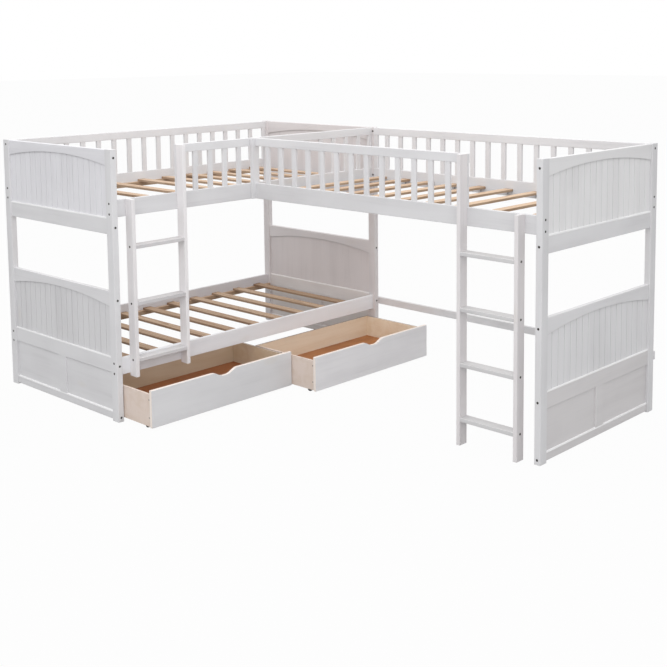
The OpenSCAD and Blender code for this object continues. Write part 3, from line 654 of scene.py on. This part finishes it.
@dataclass(frozen=True)
class Sizes:
    """Driving sizes of the bed and the planes that follow from them."""

    bed_l: float = 2020.0
    bed_w: float = 1062.0
    loft_l: float = 1956.0
    post_w: float = 54.0
    post_t: float = 34.0
    side_t: float = 18.0
    upper_z: float = 1074.0
    lower_z: float = 244.0
    side_h: float = 90.0
    ledger_w: float = 22.0
    ledger_h: float = 28.0
    slat_t: float = 14.0
    stile_t: float = 21.0
    stile_d: float = 57.0
    ladder_w: float = 354.0
    ladder_offs: tuple[float, float] = (93.0, 71.0)
    treads_a: tuple[float, ...] = (915.0, 616.0, 317.0)
    treads_b: tuple[float, ...] = (946.0, 674.0, 402.0, 130.0)
    junction_t: float = 20.0
    stretcher_t: float = 16.0
    stretcher_top: float = 318.0
    guard_bolt: float = 1399.0
    rail_bolts: tuple[float, ...] = (1382.0, 1022.96, 643.0, 296.0, 23.0)
    slat_count: int = 10
    lower_slat_ends: tuple[float, float] = (146.0, 114.0)
    upper_slat_ends: tuple[float, float] = (186.0, 134.0)
    loft_slat_ends: tuple[float, float] = (84.0, 198.0)
    upper_gaps: tuple[float, ...] = (1.25,) * 3 + (1.0,) * 5
    loft_gaps: tuple[float, ...] = (1.0,) * 6 + (1.25,) * 2

    @property
    def x0(self) -> float:
        """Outer face of the bunk's back side."""
        return -self.post_w / 2

    @property
    def xa(self) -> float:
        """Outer face of the bunk's front side."""
        return self.x0 + self.bed_w

    @property
    def xb(self) -> float:
        """Outer face of the raised bed's end."""
        return self.xa + self.loft_l

    @property
    def y1(self) -> float:
        """Outer face of the corner end."""
        return self.post_t / 2

    @property
    def y0(self) -> float:
        """Outer face of the near end."""
        return self.y1 - self.bed_l

    @property
    def yb(self) -> float:
        """Outer face of the raised bed's front side."""
        return self.y1 - self.bed_w

    @property
    def inset(self) -> float:
        """How far the side boards stand in from the posts' faces."""
        return (self.post_w - self.side_t) / 2

    @property
    def fa(self) -> float:
        """Outer face of the bunk's front boards."""
        return self.xa - self.inset

    @property
    def ba(self) -> float:
        """Outer face of the bunk's back boards."""
        return self.x0 + self.inset

    @property
    def fb(self) -> float:
        """Outer face of the raised bed's front boards."""
        return self.yb + self.inset

    @property
    def bb(self) -> float:
        """Outer face of the raised bed's back boards."""
        return self.y1 - self.inset

    @property
    def upper_mid(self) -> float:
        """Middle height of the upper side boards."""
        return self.upper_z + self.side_h / 2

    @property
    def lower_mid(self) -> float:
        """Middle height of the lower side boards."""
        return self.lower_z + self.side_h / 2

    @property
    def stiles_a(self) -> tuple[float, float]:
        """Near faces of the hung ladder's stiles along Y."""
        first = self.y0 + self.ladder_offs[0]
        return first, first + self.ladder_w - self.stile_t

    @property
    def stiles_b(self) -> tuple[float, float]:
        """Near faces of the standing ladder's stiles along X."""
        last = self.xb - self.post_t - self.ladder_offs[1] - self.stile_t
        return last - self.ladder_w + self.stile_t, last

    @staticmethod
    def spaced(start: float, stop: float, ends: tuple[float, float], gaps: tuple[float, ...]) -> np.ndarray:
        """Slats' middles between two faces.

        The first lies ends[0] past start, the last ends[1] before stop, and the gaps between are in the
        given ratio: place i is the first place plus the span times the running sum of the gaps over their
        total.

        Args:
            start: face at the first slat's end.
            stop: face at the last slat's end.
            ends: distance of the first and last slat's middles from those faces.
            gaps: relative size of each gap.

        Returns:
            The middles, one more than there are gaps.
        """
        run = np.concatenate([[0.0], np.cumsum(gaps)])
        return start + ends[0] + (stop - ends[1] - start - ends[0]) * run / run[-1]

    @property
    def lower_slats(self) -> np.ndarray:
        """Middles of the lower bed's slats along Y."""
        even = (1.0,) * (self.slat_count - 1)
        return self.spaced(self.y0 + self.post_t, self.y1 - self.post_t, self.lower_slat_ends, even)

    @property
    def upper_slats(self) -> np.ndarray:
        """Middles of the upper bed's slats along Y."""
        ends, gaps = self.upper_slat_ends, self.upper_gaps
        return self.spaced(self.y0 + self.post_t, self.y1 - self.post_t, ends, gaps)

    @property
    def loft_slats(self) -> np.ndarray:
        """Middles of the raised bed's slats along X."""
        return self.spaced(self.xa, self.xb - self.post_t, self.loft_slat_ends, self.loft_gaps)


SIZES = Sizes()


# ---- meshes ----


def grid_faces(rows: int, columns: int) -> np.ndarray:
    """Quads of a grid whose columns close round.

    Args:
        rows: number of rings.
        columns: points in a ring.

    Returns:
        Index quads, (rows - 1) * columns of them, with corners (i, j), (i, j + 1), (i + 1, j + 1) and
        (i + 1, j).
    """
    i, j = np.meshgrid(np.arange(rows - 1), np.arange(columns), indexing="ij")
    k = (j + 1) % columns
    near, far = i * columns, (i + 1) * columns
    return np.stack([near + j, near + k, far + k, far + j], axis=-1).reshape(-1, 4)


def frames_along(directions: np.ndarray) -> np.ndarray:
    """Rotation matrices whose third column is each direction.

    The first column is the direction crossed with a helper axis that isn't parallel to it.

    Args:
        directions: unit vectors, one a row.

    Returns:
        An array of shape (count, 3, 3).
    """
    helper = np.where(np.abs(directions[:, 2:3]) > 0.9, [[1.0, 0.0, 0.0]], [[0.0, 0.0, 1.0]])
    first = np.cross(helper, directions)
    first /= np.linalg.norm(first, axis=1, keepdims=True)
    return np.stack([first, np.cross(directions, first), directions], axis=-1)


@dataclass
class Shell:
    """A closed surface of quads with capped ends, ready to be repeated."""

    points: np.ndarray
    quads: np.ndarray
    caps: list[list[int]] = field(default_factory=list)

    @classmethod
    def rings(cls, radii: np.ndarray, heights: np.ndarray, close: bool = False) -> "Shell":
        """A surface of rings round the third axis.

        The point at ring i and angle t is (radii[i, t] * cos t, radii[i, t] * sin t, heights[i]).

        Args:
            radii: radius of each ring at each angle, in metres.
            heights: height of each ring.
            close: True joins the last ring to the first; False caps both.

        Returns:
            The shell.
        """
        rows, columns = radii.shape
        turn = np.linspace(0.0, 2.0 * np.pi, columns, endpoint=False)
        level = np.repeat(heights[:, None], columns, axis=1)
        points = np.stack([radii * np.cos(turn), radii * np.sin(turn), level], axis=-1)
        if close:
            points = np.concatenate([points, points[:1]])
            quads = grid_faces(rows + 1, columns)
            quads = np.where(quads >= rows * columns, quads - rows * columns, quads)
            return cls(points[:rows].reshape(-1, 3), quads)
        last = (rows - 1) * columns
        caps = [list(range(columns))[::-1], list(range(last, last + columns))]
        return cls(points.reshape(-1, 3), grid_faces(rows, columns), caps)

    def repeated(
        self, places: np.ndarray, directions: np.ndarray, tails: Optional[np.ndarray] = None
    ) -> "Shell":
        """Copies of the shell at several places.

        A copy's point is place + frame * point, and points deeper than the tail mark move to the copy's own
        tail length.

        Args:
            places: where each copy's origin goes.
            directions: where each copy's third axis points.
            tails: depth of each copy's last ring, or None to leave it.

        Returns:
            One shell with all copies.
        """
        count, size = len(places), len(self.points)
        local = np.repeat(self.points[None], count, axis=0)
        if tails is not None:
            deep = local[:, :, 2] < TAIL_MARK
            local[:, :, 2] = np.where(deep, -tails[:, None], local[:, :, 2])
        world = np.einsum("kij,knj->kni", frames_along(directions), local) + places[:, None, :]
        shift = (np.arange(count) * size)[:, None, None]
        quads = (self.quads[None] + shift).reshape(-1, 4)
        caps = [[i + k * size for i in cap] for k in range(count) for cap in self.caps]
        return Shell(world.reshape(-1, 3), quads, caps)

    def piece(self, name: str, material: bpy.types.Material, smooth_angle: float = 32.0) -> bpy.types.Object:
        """Makes the mesh object.

        Args:
            name: the piece's name.
            material: its finish.
            smooth_angle: edges sharper than this, in degrees, stay sharp.

        Returns:
            The object, at the origin.
        """
        mesh = bpy.data.meshes.new(name)
        mesh.from_pydata(self.points.tolist(), [], self.quads.tolist() + self.caps)
        mesh.validate()
        mesh.materials.append(material)
        made = bpy.data.objects.new(name, mesh)
        bpy.context.scene.collection.objects.link(made)
        mesh.polygons.foreach_set("use_smooth", np.ones(len(mesh.polygons), dtype=bool))
        mesh.set_sharp_from_angle(angle=math.radians(smooth_angle))
        mesh.update()
        return made


def circle(radius: float, columns: int) -> np.ndarray:
    """A ring of equal radius."""
    return np.full(columns, radius)


def hexagon(half: float, columns: int) -> np.ndarray:
    """Distance from the centre to a hexagon's side: half / cos of the angle from the side's middle."""
    turn = np.linspace(0.0, 2.0 * np.pi, columns, endpoint=False)
    return half / np.cos((turn + np.pi / 6) % (np.pi / 3) - np.pi / 6)


def cross(arm: float, width: float, columns: int) -> np.ndarray:
    """Distance from the centre to a cross's outline: the larger of the two bars' own distances."""
    turn = np.linspace(0.0, 2.0 * np.pi, columns, endpoint=False) + 1e-6
    c, s = np.abs(np.cos(turn)), np.abs(np.sin(turn))
    half = width / 2
    return np.maximum(np.minimum(arm / c, half / s), np.minimum(arm / s, half / c))


# ---- fasteners ----


@dataclass
class Run:
    """Bolts gathered as places, directions and lengths, in millimetres."""

    places: list[Triple] = field(default_factory=list)
    directions: list[Triple] = field(default_factory=list)
    lengths: list[float] = field(default_factory=list)

    def add(self, place: Triple, direction: Triple, length: float) -> None:
        """Adds one bolt whose head's face is at place and whose shank runs along direction."""
        self.places.append(place)
        self.directions.append(direction)
        self.lengths.append(length)


@dataclass
class Bolts:
    """The furniture bolts: sunk heads with a domed rim and a hexagon socket, and their shanks."""

    s: Sizes = SIZES
    head_r: float = 6.0
    head_h: float = 4.0
    shank_r: float = 3.0
    dome: float = 0.5
    socket: float = 2.1
    socket_depth: float = 2.4
    bite: float = 26.0
    stile_bite: float = 30.0
    end_pair: float = 27.0
    low_pair: tuple[float, float] = (-33.0, 21.0)
    corner_pair: float = 13.0
    corner_in: float = 2.0
    stretcher_ends: tuple[float, float] = (12.0, 7.0)
    stretcher_drop: float = 11.0

    def end_places(self, run: Run) -> None:
        """Adds the bolts of the three end panels, each drawn along its own bed's width.

        A panel's own x runs across its bed and its y goes in from its outer face.
        """
        s = self.s
        up = (s.upper_mid - self.end_pair, s.upper_mid + self.end_pair)
        low = tuple(s.lower_mid + away for away in self.low_pair)
        sides = {
            "near": (low + up + (s.guard_bolt,), low + up),
            "corner": (low + up + (s.guard_bolt,), low + up + (s.guard_bolt,)),
            "loft": (up, up + (s.guard_bolt,)),
        }
        turns = {
            "near": (lambda x, y: (s.x0 + x, s.y0 + y), lambda x, y: (x, y)),
            "corner": (lambda x, y: (s.x0 + x, s.y1 - y), lambda x, y: (x, -y)),
            "loft": (lambda x, y: (s.xb - y, s.yb + x), lambda x, y: (-y, x)),
        }
        for end, (place, way) in turns.items():
            for z in s.rail_bolts:
                for x, turn in ((0.0, 1.0), (s.bed_w, -1.0)):
                    face = place(x, s.post_t / 2)
                    run.add((*face, z), (*way(turn, 0.0), 0.0), s.post_w + self.bite / 2)
            for x, heights in zip((s.post_w / 2, s.bed_w - s.post_w / 2), sides[end]):
                for z in heights:
                    run.add((*place(x, 0.0), z), (*way(0.0, 1.0), 0.0), s.post_t + self.bite)

    def other_places(self, run: Run) -> None:
        """Adds the bolts of the corner joint, the junction, the ladders and the stretcher."""
        s = self.s
        east, west, north, south = (1.0, 0.0, 0.0), (-1.0, 0.0, 0.0), (0.0, 1.0, 0.0), (0.0, -1.0, 0.0)
        pair = (s.upper_mid - self.corner_pair, s.upper_mid + self.corner_pair)
        for z in (*pair, s.guard_bolt - self.corner_pair):
            run.add((s.xa - s.post_w, s.bb - s.side_t / 2, z), east, s.post_w + self.bite)
        for z in (s.upper_mid, s.guard_bolt):
            run.add((s.xa - s.inset / 2 - self.corner_in, s.y1 - s.post_t, z), north, s.post_t / 2)
        near_a, far_a = s.stiles_a
        near_b, far_b = s.stiles_b
        rows = [(y, z) for y in (near_a, far_a) for z in (s.lower_mid, s.upper_mid)]
        for y, z in rows + [(far_a, s.guard_bolt)]:
            run.add((s.fa - s.side_t, y + s.stile_t / 2, z), east, s.side_t + self.stile_bite)
        for x, z in ((near_b, s.upper_mid), (far_b, s.upper_mid), (near_b, s.guard_bolt)):
            run.add((x + s.stile_t / 2, s.fb + s.side_t, z), south, s.side_t + self.stile_bite)
        for z in (*pair, s.guard_bolt):
            place = (s.fa - s.side_t, s.fb + s.side_t / 2, z)
            run.add(place, east, s.side_t + s.junction_t + self.bite)
        first, last = self.stretcher_ends
        for x in (s.xa - first, s.xb - s.post_t + last):
            place = (x, s.y1 + s.stretcher_t, s.stretcher_top - self.stretcher_drop)
            run.add(place, south, s.stretcher_t + self.bite)
        grip = s.stile_t + self.bite
        for z in s.treads_a:
            run.add((s.fa + s.stile_d / 2, near_a, z), north, grip)
            run.add((s.fa + s.stile_d / 2, far_a + s.stile_t, z), south, grip)
        for z in s.treads_b:
            run.add((near_b, s.fb - s.stile_d / 2, z), east, grip)
            run.add((far_b + s.stile_t, s.fb - s.stile_d / 2, z), west, grip)

    def shell(self, columns: int = 24) -> Shell:
        """One bolt with its head's face at height 0 and its shank running down.

        The profile runs from the socket's floor up its six walls, over the domed rim, down the head's side,
        in under the head and down the shank.
        """
        face = self.dome
        rows = [
            (hexagon(self.socket * 0.97, columns), -self.socket_depth),
            (hexagon(self.socket, columns), face * 0.55),
            (hexagon(self.socket * 1.14, columns), face * 0.95),
            (circle(self.head_r * 0.62, columns), face),
            (circle(self.head_r * 0.86, columns), face * 0.80),
            (circle(self.head_r * 0.985, columns), face * 0.25),
            (circle(self.head_r, columns), -0.15),
            (circle(self.head_r, columns), -self.head_h),
            (circle(self.shank_r, columns), -self.head_h),
            (circle(self.shank_r, columns), -20.0),
        ]
        radii = np.stack([r for r, _ in rows]) * MM
        return Shell.rings(radii[::-1], np.array([h for _, h in rows])[::-1] * MM)

    def build(self, shop: Workshop) -> None:
        """Makes all bolts as one piece that stands for the bolts' node."""
        run = Run()
        self.end_places(run)
        self.other_places(run)
        outward = -np.array(run.directions)
        shell = self.shell().repeated(np.array(run.places) * MM, outward, np.array(run.lengths) * MM)
        made = shell.piece("socket_bolts", shop.material(Steel(), "bolts", Grain.Z))
        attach(made, "frame")
        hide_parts("bolts")
        log.info("made socket_bolts: %d bolts", len(run.places))


@dataclass
class Screws:
    """Countersunk wood screws with a cross recess."""

    head_r: float = 4.0
    shank_r: float = 1.75
    length: float = 34.0
    recess: float = 1.4

    def shell(self, columns: int = 32) -> Shell:
        """One screw, its head's face at height 0: cross floor, cross walls, flat face, cone and shank."""
        rows = [
            (cross(2.0, 0.8, columns), -self.recess),
            (cross(2.3, 1.0, columns), 0.02),
            (circle(self.head_r * 0.80, columns), 0.10),
            (circle(self.head_r * 0.99, columns), 0.0),
            (circle(self.head_r, columns), -0.35),
            (circle(self.shank_r, columns), -2.0),
            (circle(self.shank_r, columns), -self.length + 3.0),
            (circle(self.shank_r * 0.25, columns), -self.length),
        ]
        radii, heights = np.stack([r for r, _ in rows]), np.array([h for _, h in rows])
        return Shell.rings(radii[::-1] * MM, heights[::-1] * MM)

    def slat_places(self, s: Sizes) -> np.ndarray:
        """Places of the slat screws: every slat's two ends over the ledgers' middles."""
        reach = s.side_t + s.ledger_w / 2
        low, up = (z + s.ledger_h + s.slat_t for z in (s.lower_z, s.upper_z))
        decks = ((s.lower_slats, low), (s.upper_slats, up))
        rows = [(x, y, z) for places, z in decks for y in places for x in (s.ba + reach, s.fa - reach)]
        rows += [(x, y, up) for x in s.loft_slats for y in (s.fb + reach, s.bb - reach)]
        return np.array(rows) * MM

    def build_slat_screws(self, shop: Workshop, s: Sizes) -> None:
        """Makes the slat screws as one piece that stands for their node."""
        places = self.slat_places(s)
        up = np.tile([0.0, 0.0, 1.0], (len(places), 1))
        shell = self.shell().repeated(places, up)
        made = shell.piece("cross_screws", shop.material(Steel(), "screws", Grain.Z))
        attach(made, "frame")
        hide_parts("slat_screws")
        log.info("made cross_screws: %d", len(places))


# ---- drawers ----


@dataclass
class Drawer:
    """One roll-out drawer: its finishes, castor wheels and corner screws.

    Lengths are millimetres. fork_in is the way from a side's inner face to the wheel's side.
    """

    number: int
    face_x: float
    near_y: float
    front_w: float = 972.0
    front_t: float = 18.0
    overhang: float = 2.0
    wall_t: float = 12.0
    depth: float = 505.0
    wheel_r: float = 17.0
    wheel_w: float = 14.0
    axle_r: float = 3.06
    castor_in: float = 72.0
    wall_top: float = 190.0
    fork_in: float = 6.0
    screw_heights: tuple[float, float] = (66.0, 160.0)
    screw_behind: float = 8.0
    # tone, inside and floor paint light and shade: a lighter or darker front, the inner faces' tone and the
    # bottom's board
    tone: Colour = (1.0, 1.0, 1.0)
    inside: Colour = (0.870, 0.760, 0.610)
    floor: Hardboard = Hardboard()

    @property
    def name(self) -> str:
        """The drawer's body."""
        return f"drawer_{self.number}"

    def wheel(self, columns: int = 40) -> Shell:
        """One wheel round its axle: bore, recessed hub face, rim, rounded tread, and the far side the same.

        The profile is a closed loop of (radius, place along the axle), symmetric about the wheel's middle.
        """
        half, r = self.wheel_w / 2, self.wheel_r
        side = [
            (self.axle_r, half - 0.6), (self.axle_r + 2.2, half - 0.4), (self.axle_r + 2.6, half - 2.4),
            (r * 0.66, half - 2.6), (r * 0.72, half - 0.8), (r * 0.90, half - 0.3), (r * 0.965, half - 1.2),
            (r * 0.992, half - 3.0), (r, 0.0),
        ]
        loop = side + [(radius, -place) for radius, place in side[-2::-1]]
        radii = np.repeat(np.array([[radius] for radius, _ in loop]), columns, axis=1)
        return Shell.rings(radii * MM, np.array([place for _, place in loop]) * MM, close=True)

    def build_wheels(self, shop: Workshop) -> None:
        """Makes both wheel pairs, each standing for its node and turning with it."""
        in_y = self.overhang + self.wall_t + self.fork_in + self.wheel_w / 2
        rows = {"front": -self.castor_in, "back": -self.depth + self.castor_in}
        for row, x in rows.items():
            places = np.array([
                (self.face_x + x, self.near_y + y, self.wheel_r) for y in (in_y, self.front_w - in_y)
            ]) * MM
            shell = self.wheel().repeated(places, np.tile([0.0, 1.0, 0.0], (2, 1)))
            pair = f"{self.name}_{row}"
            made = shell.piece(f"{pair}_treads", shop.material(Nylon(), pair, Grain.Z))
            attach(made, f"{pair}_wheels")
            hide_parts(f"{pair}_wheels")

    def build_screws(self, shop: Workshop) -> None:
        """Makes the screws that hold front, sides and back together, heads on the sides' outer faces."""
        heights = self.screw_heights
        behind = self.face_x - self.front_t - self.screw_behind
        xs = (behind, self.face_x - self.depth + self.wall_t / 2)
        sides = ((self.near_y + self.overhang, -1.0), (self.near_y + self.front_w - self.overhang, 1.0))
        places = np.array([(x, y, z) for y, _ in sides for x in xs for z in heights]) * MM
        ways = np.array([(0.0, way, 0.0) for _, way in sides for _ in range(len(xs) * len(heights))])
        screw = Screws(head_r=3.6, length=11.0)
        finish = shop.material(Steel(), f"{self.name}_screws", Grain.Z)
        made = screw.shell().repeated(places, ways).piece(f"{self.name}_corner_screws", finish)
        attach(made, self.name)

    def dress(self, shop: Workshop) -> None:
        """Gives the drawer's nodes their finishes."""
        middle, wall_in = (self.face_x - self.front_t / 2) * MM, self.overhang + self.wall_t
        well = Well(
            (self.face_x - self.depth + self.wall_t) * MM, (self.near_y + wall_in) * MM,
            (self.near_y + self.front_w - wall_in) * MM, self.wall_top * MM)
        paint = Paint(bare=Core(Grain.X, middle, self.front_t / 2 * MM)).toned(self.tone)
        shop.dress(f"{self.name}_front", paint, Grain.Y)
        shop.dress(f"{self.name}_walls", Ply(well, inside=self.inside), Grain.Y)
        shop.dress(f"{self.name}_bottom", self.floor, Grain.Y)
        shop.dress(f"{self.name}_castor_forks", Nylon(), Grain.Z)
        self.build_wheels(shop)
        self.build_screws(shop)


# ---- frame ----


@dataclass
class EndPanel:
    """One end panel: posts with upright grain, rails along the bed's width and upright boarding."""

    end: str
    across: Grain
    middle: float
    # tones: each part's lighter or darker factor, which paints the light and shade on it
    tones: Mapping[str, Colour] = field(default_factory=dict)
    arcs: tuple[tuple[str, float], ...] = (("upper_boarding", 1381.0), ("lower_boarding", 646.0))
    arc_r: float = 2864.1
    # heights of the painted highlight lines under the rails' tops; ledge_lit sets their strength
    ledges: Mapping[str, tuple[float, ...]] = field(default_factory=lambda: {
        "waist_rail": (1074.0,), "base_frame": (341.0, 51.0)})
    ledge_lit: float = 1.0

    def dress(self, shop: Workshop) -> None:
        """Gives the panel's nodes their finishes, each made lighter or darker by its tone, which paints the
        light and shade on it.
        """
        plain = self.tones.get("all", (1.0, 1.0, 1.0))
        for part in ("top_rail", "waist_rail", "arch_rail", "base_frame"):
            tops = tuple(top * MM for top in self.ledges.get(part, ()))
            paint = Paint(ledges=tops, ledge_lit=self.ledge_lit).toned(self.tones.get(part, plain))
            shop.dress(f"{self.end}_{part}", paint, self.across)
        shop.dress(f"{self.end}_posts", Paint().toned(self.tones.get("posts", plain)), Grain.Z)
        # each arched rail gets a painted shadow on the boarding beneath it
        for part, top in self.arcs:
            arch = Arch(self.across, self.middle * MM, top * MM, self.arc_r * MM)
            shop.dress(f"{self.end}_{part}", Paint(under=arch).toned(self.tones.get(part, plain)), Grain.Z)


@dataclass
class Boards:
    """Side boards, guards, junction post, stretcher, ledgers and slats."""

    along_y: tuple[str, ...] = (
        "bunk_upper_front_board", "bunk_upper_back_board", "bunk_lower_front_board", "bunk_lower_back_board",
        "bunk_back_guard_rail", "bunk_front_guard_rail", "bunk_ladder_treads",
    )
    along_x: tuple[str, ...] = (
        "loft_front_board", "loft_back_board", "loft_back_guard_rail", "loft_front_guard_rail",
        "loft_ladder_treads", "back_stretcher",
    )
    upright: tuple[str, ...] = (
        "junction_post", "bunk_back_guard_bars", "bunk_front_guard_bars", "loft_back_guard_bars",
        "loft_front_guard_bars", "bunk_ladder_stiles", "loft_ladder_stiles",
    )
    # tones: each board's lighter or darker factor, which paints the light and shade on it
    tones: Mapping[str, Colour] = field(default_factory=lambda: {
        "bunk_lower_back_board": (0.93, 0.91, 0.92), "bunk_lower_front_board": (1.14, 1.15, 1.16),
        "loft_front_board": (0.94, 0.94, 0.94), "loft_ladder_stiles": (1.04, 1.01, 1.00),
        "loft_ladder_treads": (0.85, 0.845, 0.835), "bunk_ladder_stiles": (1.17, 1.15, 1.14),
        "bunk_ladder_treads": (0.87, 0.855, 0.85),
    })

    def dress(self, shop: Workshop) -> None:
        """Gives the boards their finishes, each with its own grain direction."""
        for names, grain in ((self.along_y, Grain.Y), (self.along_x, Grain.X), (self.upright, Grain.Z)):
            for name in names:
                paint = Paint(streaky=1.8 if name.endswith("treads") else 1.0)
                shop.dress(name, paint.toned(self.tones.get(name, (1.0, 1.0, 1.0))), grain)
        s = SIZES
        back = (s.ba + s.side_t + 2.0) * MM
        shop.dress("bunk_upper_slats", Pine(end=back), Grain.X)
        # a darker pine for the lower bed's slats
        darker_pine = Pine((0.530, 0.385, 0.268), (0.300, 0.180, 0.108), sawn_and_shade=(0.250, 0.150, 0.088), end=back)
        shop.dress("bunk_lower_slats", darker_pine, Grain.X)
        warmer = Pine(pale=(0.650, 0.485, 0.345), end=(s.bb - s.side_t - 2.0) * MM, way=-1.0)
        shop.dress("loft_slats", warmer, Grain.Y)
        shop.dress("bunk_ledgers", Pine(pitch=0.5), Grain.Y)
        shop.dress("loft_ledgers", Pine(pitch=0.5), Grain.X)


# ---- studio ----


@dataclass(frozen=True)
class Lamp:
    """One soft area lamp that looks at the bed's middle."""

    name: str
    place: Triple
    size: float
    power: float
    aim: Triple = (1.3, -0.9, 0.7)


@dataclass
class Studio:
    """Camera, lamps, world and floor."""

    eye: Triple = (5.728, -5.182, 1.926)
    yaw: float = 0.7542
    pitch: float = 0.1060
    roll: float = 0.0085
    focal_pixels: float = 1097.2
    image_pixels: float = 667.0
    centre: tuple[float, float] = (356.0, 165.0)
    sensor: float = 36.0
    world_level: float = 0.95
    floor_white: float = 0.97
    lamps: tuple[Lamp, ...] = (
        Lamp("key", (4.6, -6.4, 5.4), 5.0, 110.0),
        Lamp("low", (6.4, -5.0, 1.6), 3.0, 48.0),
        Lamp("top", (1.4, -1.0, 3.8), 4.0, 52.0),
    )

    def camera(self) -> None:
        """Places the camera of the photograph.

        The view direction is (-sin yaw cos pitch, cos yaw cos pitch, -sin pitch); the shift puts the
        principal point where the photograph has it.
        """
        cy, sy, cp, sp = math.cos(self.yaw), math.sin(self.yaw), math.cos(self.pitch), math.sin(self.pitch)
        ahead = Vector((-sy * cp, cy * cp, -sp))
        right = Vector((cy, sy, 0.0))
        down = ahead.cross(right)
        cr, sr = math.cos(self.roll), math.sin(self.roll)
        right, down = cr * right + sr * down, -sr * right + cr * down
        data = bpy.data.cameras.new("camera")
        data.sensor_width = self.sensor
        data.lens = self.focal_pixels / self.image_pixels * self.sensor
        data.shift_x = (self.image_pixels / 2 - self.centre[0]) / self.image_pixels
        data.shift_y = (self.centre[1] - self.image_pixels / 2) / self.image_pixels
        data.clip_end = 200.0
        made = bpy.data.objects.new("camera", data)
        turn = Matrix((right, -down, -ahead)).transposed().to_4x4()
        made.matrix_world = Matrix.Translation(self.eye) @ turn
        bpy.context.scene.collection.objects.link(made)
        bpy.context.scene.camera = made

    def light(self) -> None:
        """Adds the lamps."""
        for lamp in self.lamps:
            data = bpy.data.lights.new(lamp.name, "AREA")
            data.shape = "DISK"
            data.size = lamp.size
            data.energy = lamp.power
            made = bpy.data.objects.new(lamp.name, data)
            place = Vector(lamp.place)
            made.location = place
            made.rotation_mode = "QUATERNION"
            made.rotation_quaternion = (Vector(lamp.aim) - place).to_track_quat("-Z", "Y")
            bpy.context.scene.collection.objects.link(made)

    @staticmethod
    def seen(g: Graph) -> Value:
        """1 for rays that show a surface, straight, in gloss or through glass; 0 for rays that light one."""
        rays = g.node("ShaderNodeLightPath")
        straight, gloss, glass = (
            Value(g, rays.outputs[f"Is {kind} Ray"]) for kind in ("Camera", "Glossy", "Transmission"))
        return 1.0 - (1.0 - straight) * (1.0 - gloss) * (1.0 - glass)

    def world(self) -> None:
        """A grey world for light, and a white one for what the camera and reflections see."""
        g = Graph(bpy.data.worlds.new("studio"))
        white = (1.0, 1.0, 1.0, 1.0)
        plain = g.out("ShaderNodeBackground", {}, {"Color": white, "Strength": self.world_level})
        bright = g.out("ShaderNodeBackground", {}, {"Color": white, "Strength": 1.0})
        mix = g.out("ShaderNodeMixShader", {}, {0: self.seen(g), 1: plain, 2: bright})
        g.node("ShaderNodeOutputWorld", {}, {"Surface": mix})
        bpy.context.scene.world = g.owner

    def floor(self) -> None:
        """A wide white floor that shows a faint shadow: mostly white to the camera, and plain to light."""
        g = Graph(bpy.data.materials.new("floor_white"))
        diffuse = g.out("ShaderNodeBsdfPrincipled", {}, {
            "Base Color": (0.34, 0.34, 0.34, 1.0), "Roughness": 0.9, "Specular IOR Level": 0.1})
        glow = g.out("ShaderNodeEmission", {}, {"Color": (1.0, 1.0, 1.0, 1.0), "Strength": 1.0})
        mix = g.out("ShaderNodeMixShader", {}, {0: self.seen(g) * self.floor_white, 1: diffuse, 2: glow})
        g.node("ShaderNodeOutputMaterial", {}, {"Surface": mix})
        reach = 60.0
        corners = [(-reach, -reach, 0.0), (reach, -reach, 0.0), (reach, reach, 0.0), (-reach, reach, 0.0)]
        mesh = bpy.data.meshes.new("floor")
        mesh.from_pydata(corners, [], [(0, 1, 2, 3)])
        mesh.materials.append(g.owner)
        made = bpy.data.objects.new("floor", mesh)
        bpy.context.scene.collection.objects.link(made)

    def build(self) -> None:
        """Sets up the whole studio."""
        self.camera()
        self.light()
        self.world()
        self.floor()
        bpy.context.scene.view_settings.view_transform = "Standard"


def main() -> None:
    """Dresses the bed in order: studio, end panels, boards, fasteners and drawers."""
    logging.basicConfig(level=logging.INFO, format="%(name)s: %(message)s")
    Studio().build()
    shop = Workshop()
    # upper boarding lighter; lower boarding, base and the corner end's inner faces darker: painted light and
    # shade
    panels = (
        EndPanel("near_end", Grain.X, 504.0, {
            "upper_boarding": (1.08, 1.08, 1.10), "top_rail": (1.06, 1.06, 1.08),
            "lower_boarding": (0.93, 0.93, 0.93), "base_frame": (0.98, 0.98, 0.98)}),
        EndPanel("corner_end", Grain.X, 504.0, {
            "all": (0.97, 0.93, 0.92), "lower_boarding": (0.92, 0.865, 0.85),
            "base_frame": (1.00, 0.94, 0.90)}, ledge_lit=0.35),
        EndPanel("loft_end", Grain.Y, -514.0, {
            "upper_boarding": (1.12, 1.12, 1.11), "top_rail": (1.07, 1.07, 1.06),
            "base_frame": (0.90, 0.88, 0.87), "posts": (0.95, 0.95, 0.95)}),
    )
    for panel in panels:
        panel.dress(shop)
    Boards().dress(shop)
    Bolts().build(shop)
    Screws().build_slat_screws(shop, SIZES)
    # painted shade for drawer 1 under the bed: darker tone, inner faces and floor; drawer 2's lighter tone
    # and inner faces are painted light
    shaded = Hardboard((0.320, 0.110, 0.036), (0.210, 0.070, 0.022), (0.430, 0.200, 0.080))
    drawers = (
        Drawer(1, 1276.0, -1967.0, tone=(0.98, 0.98, 0.98), inside=(0.66, 0.55, 0.41), floor=shaded),
        Drawer(2, 1468.0, -991.0, tone=(1.14, 1.13, 1.13)),
    )
    for drawer in drawers:
        drawer.dress(shop)


if __name__ == "__main__":
    main()
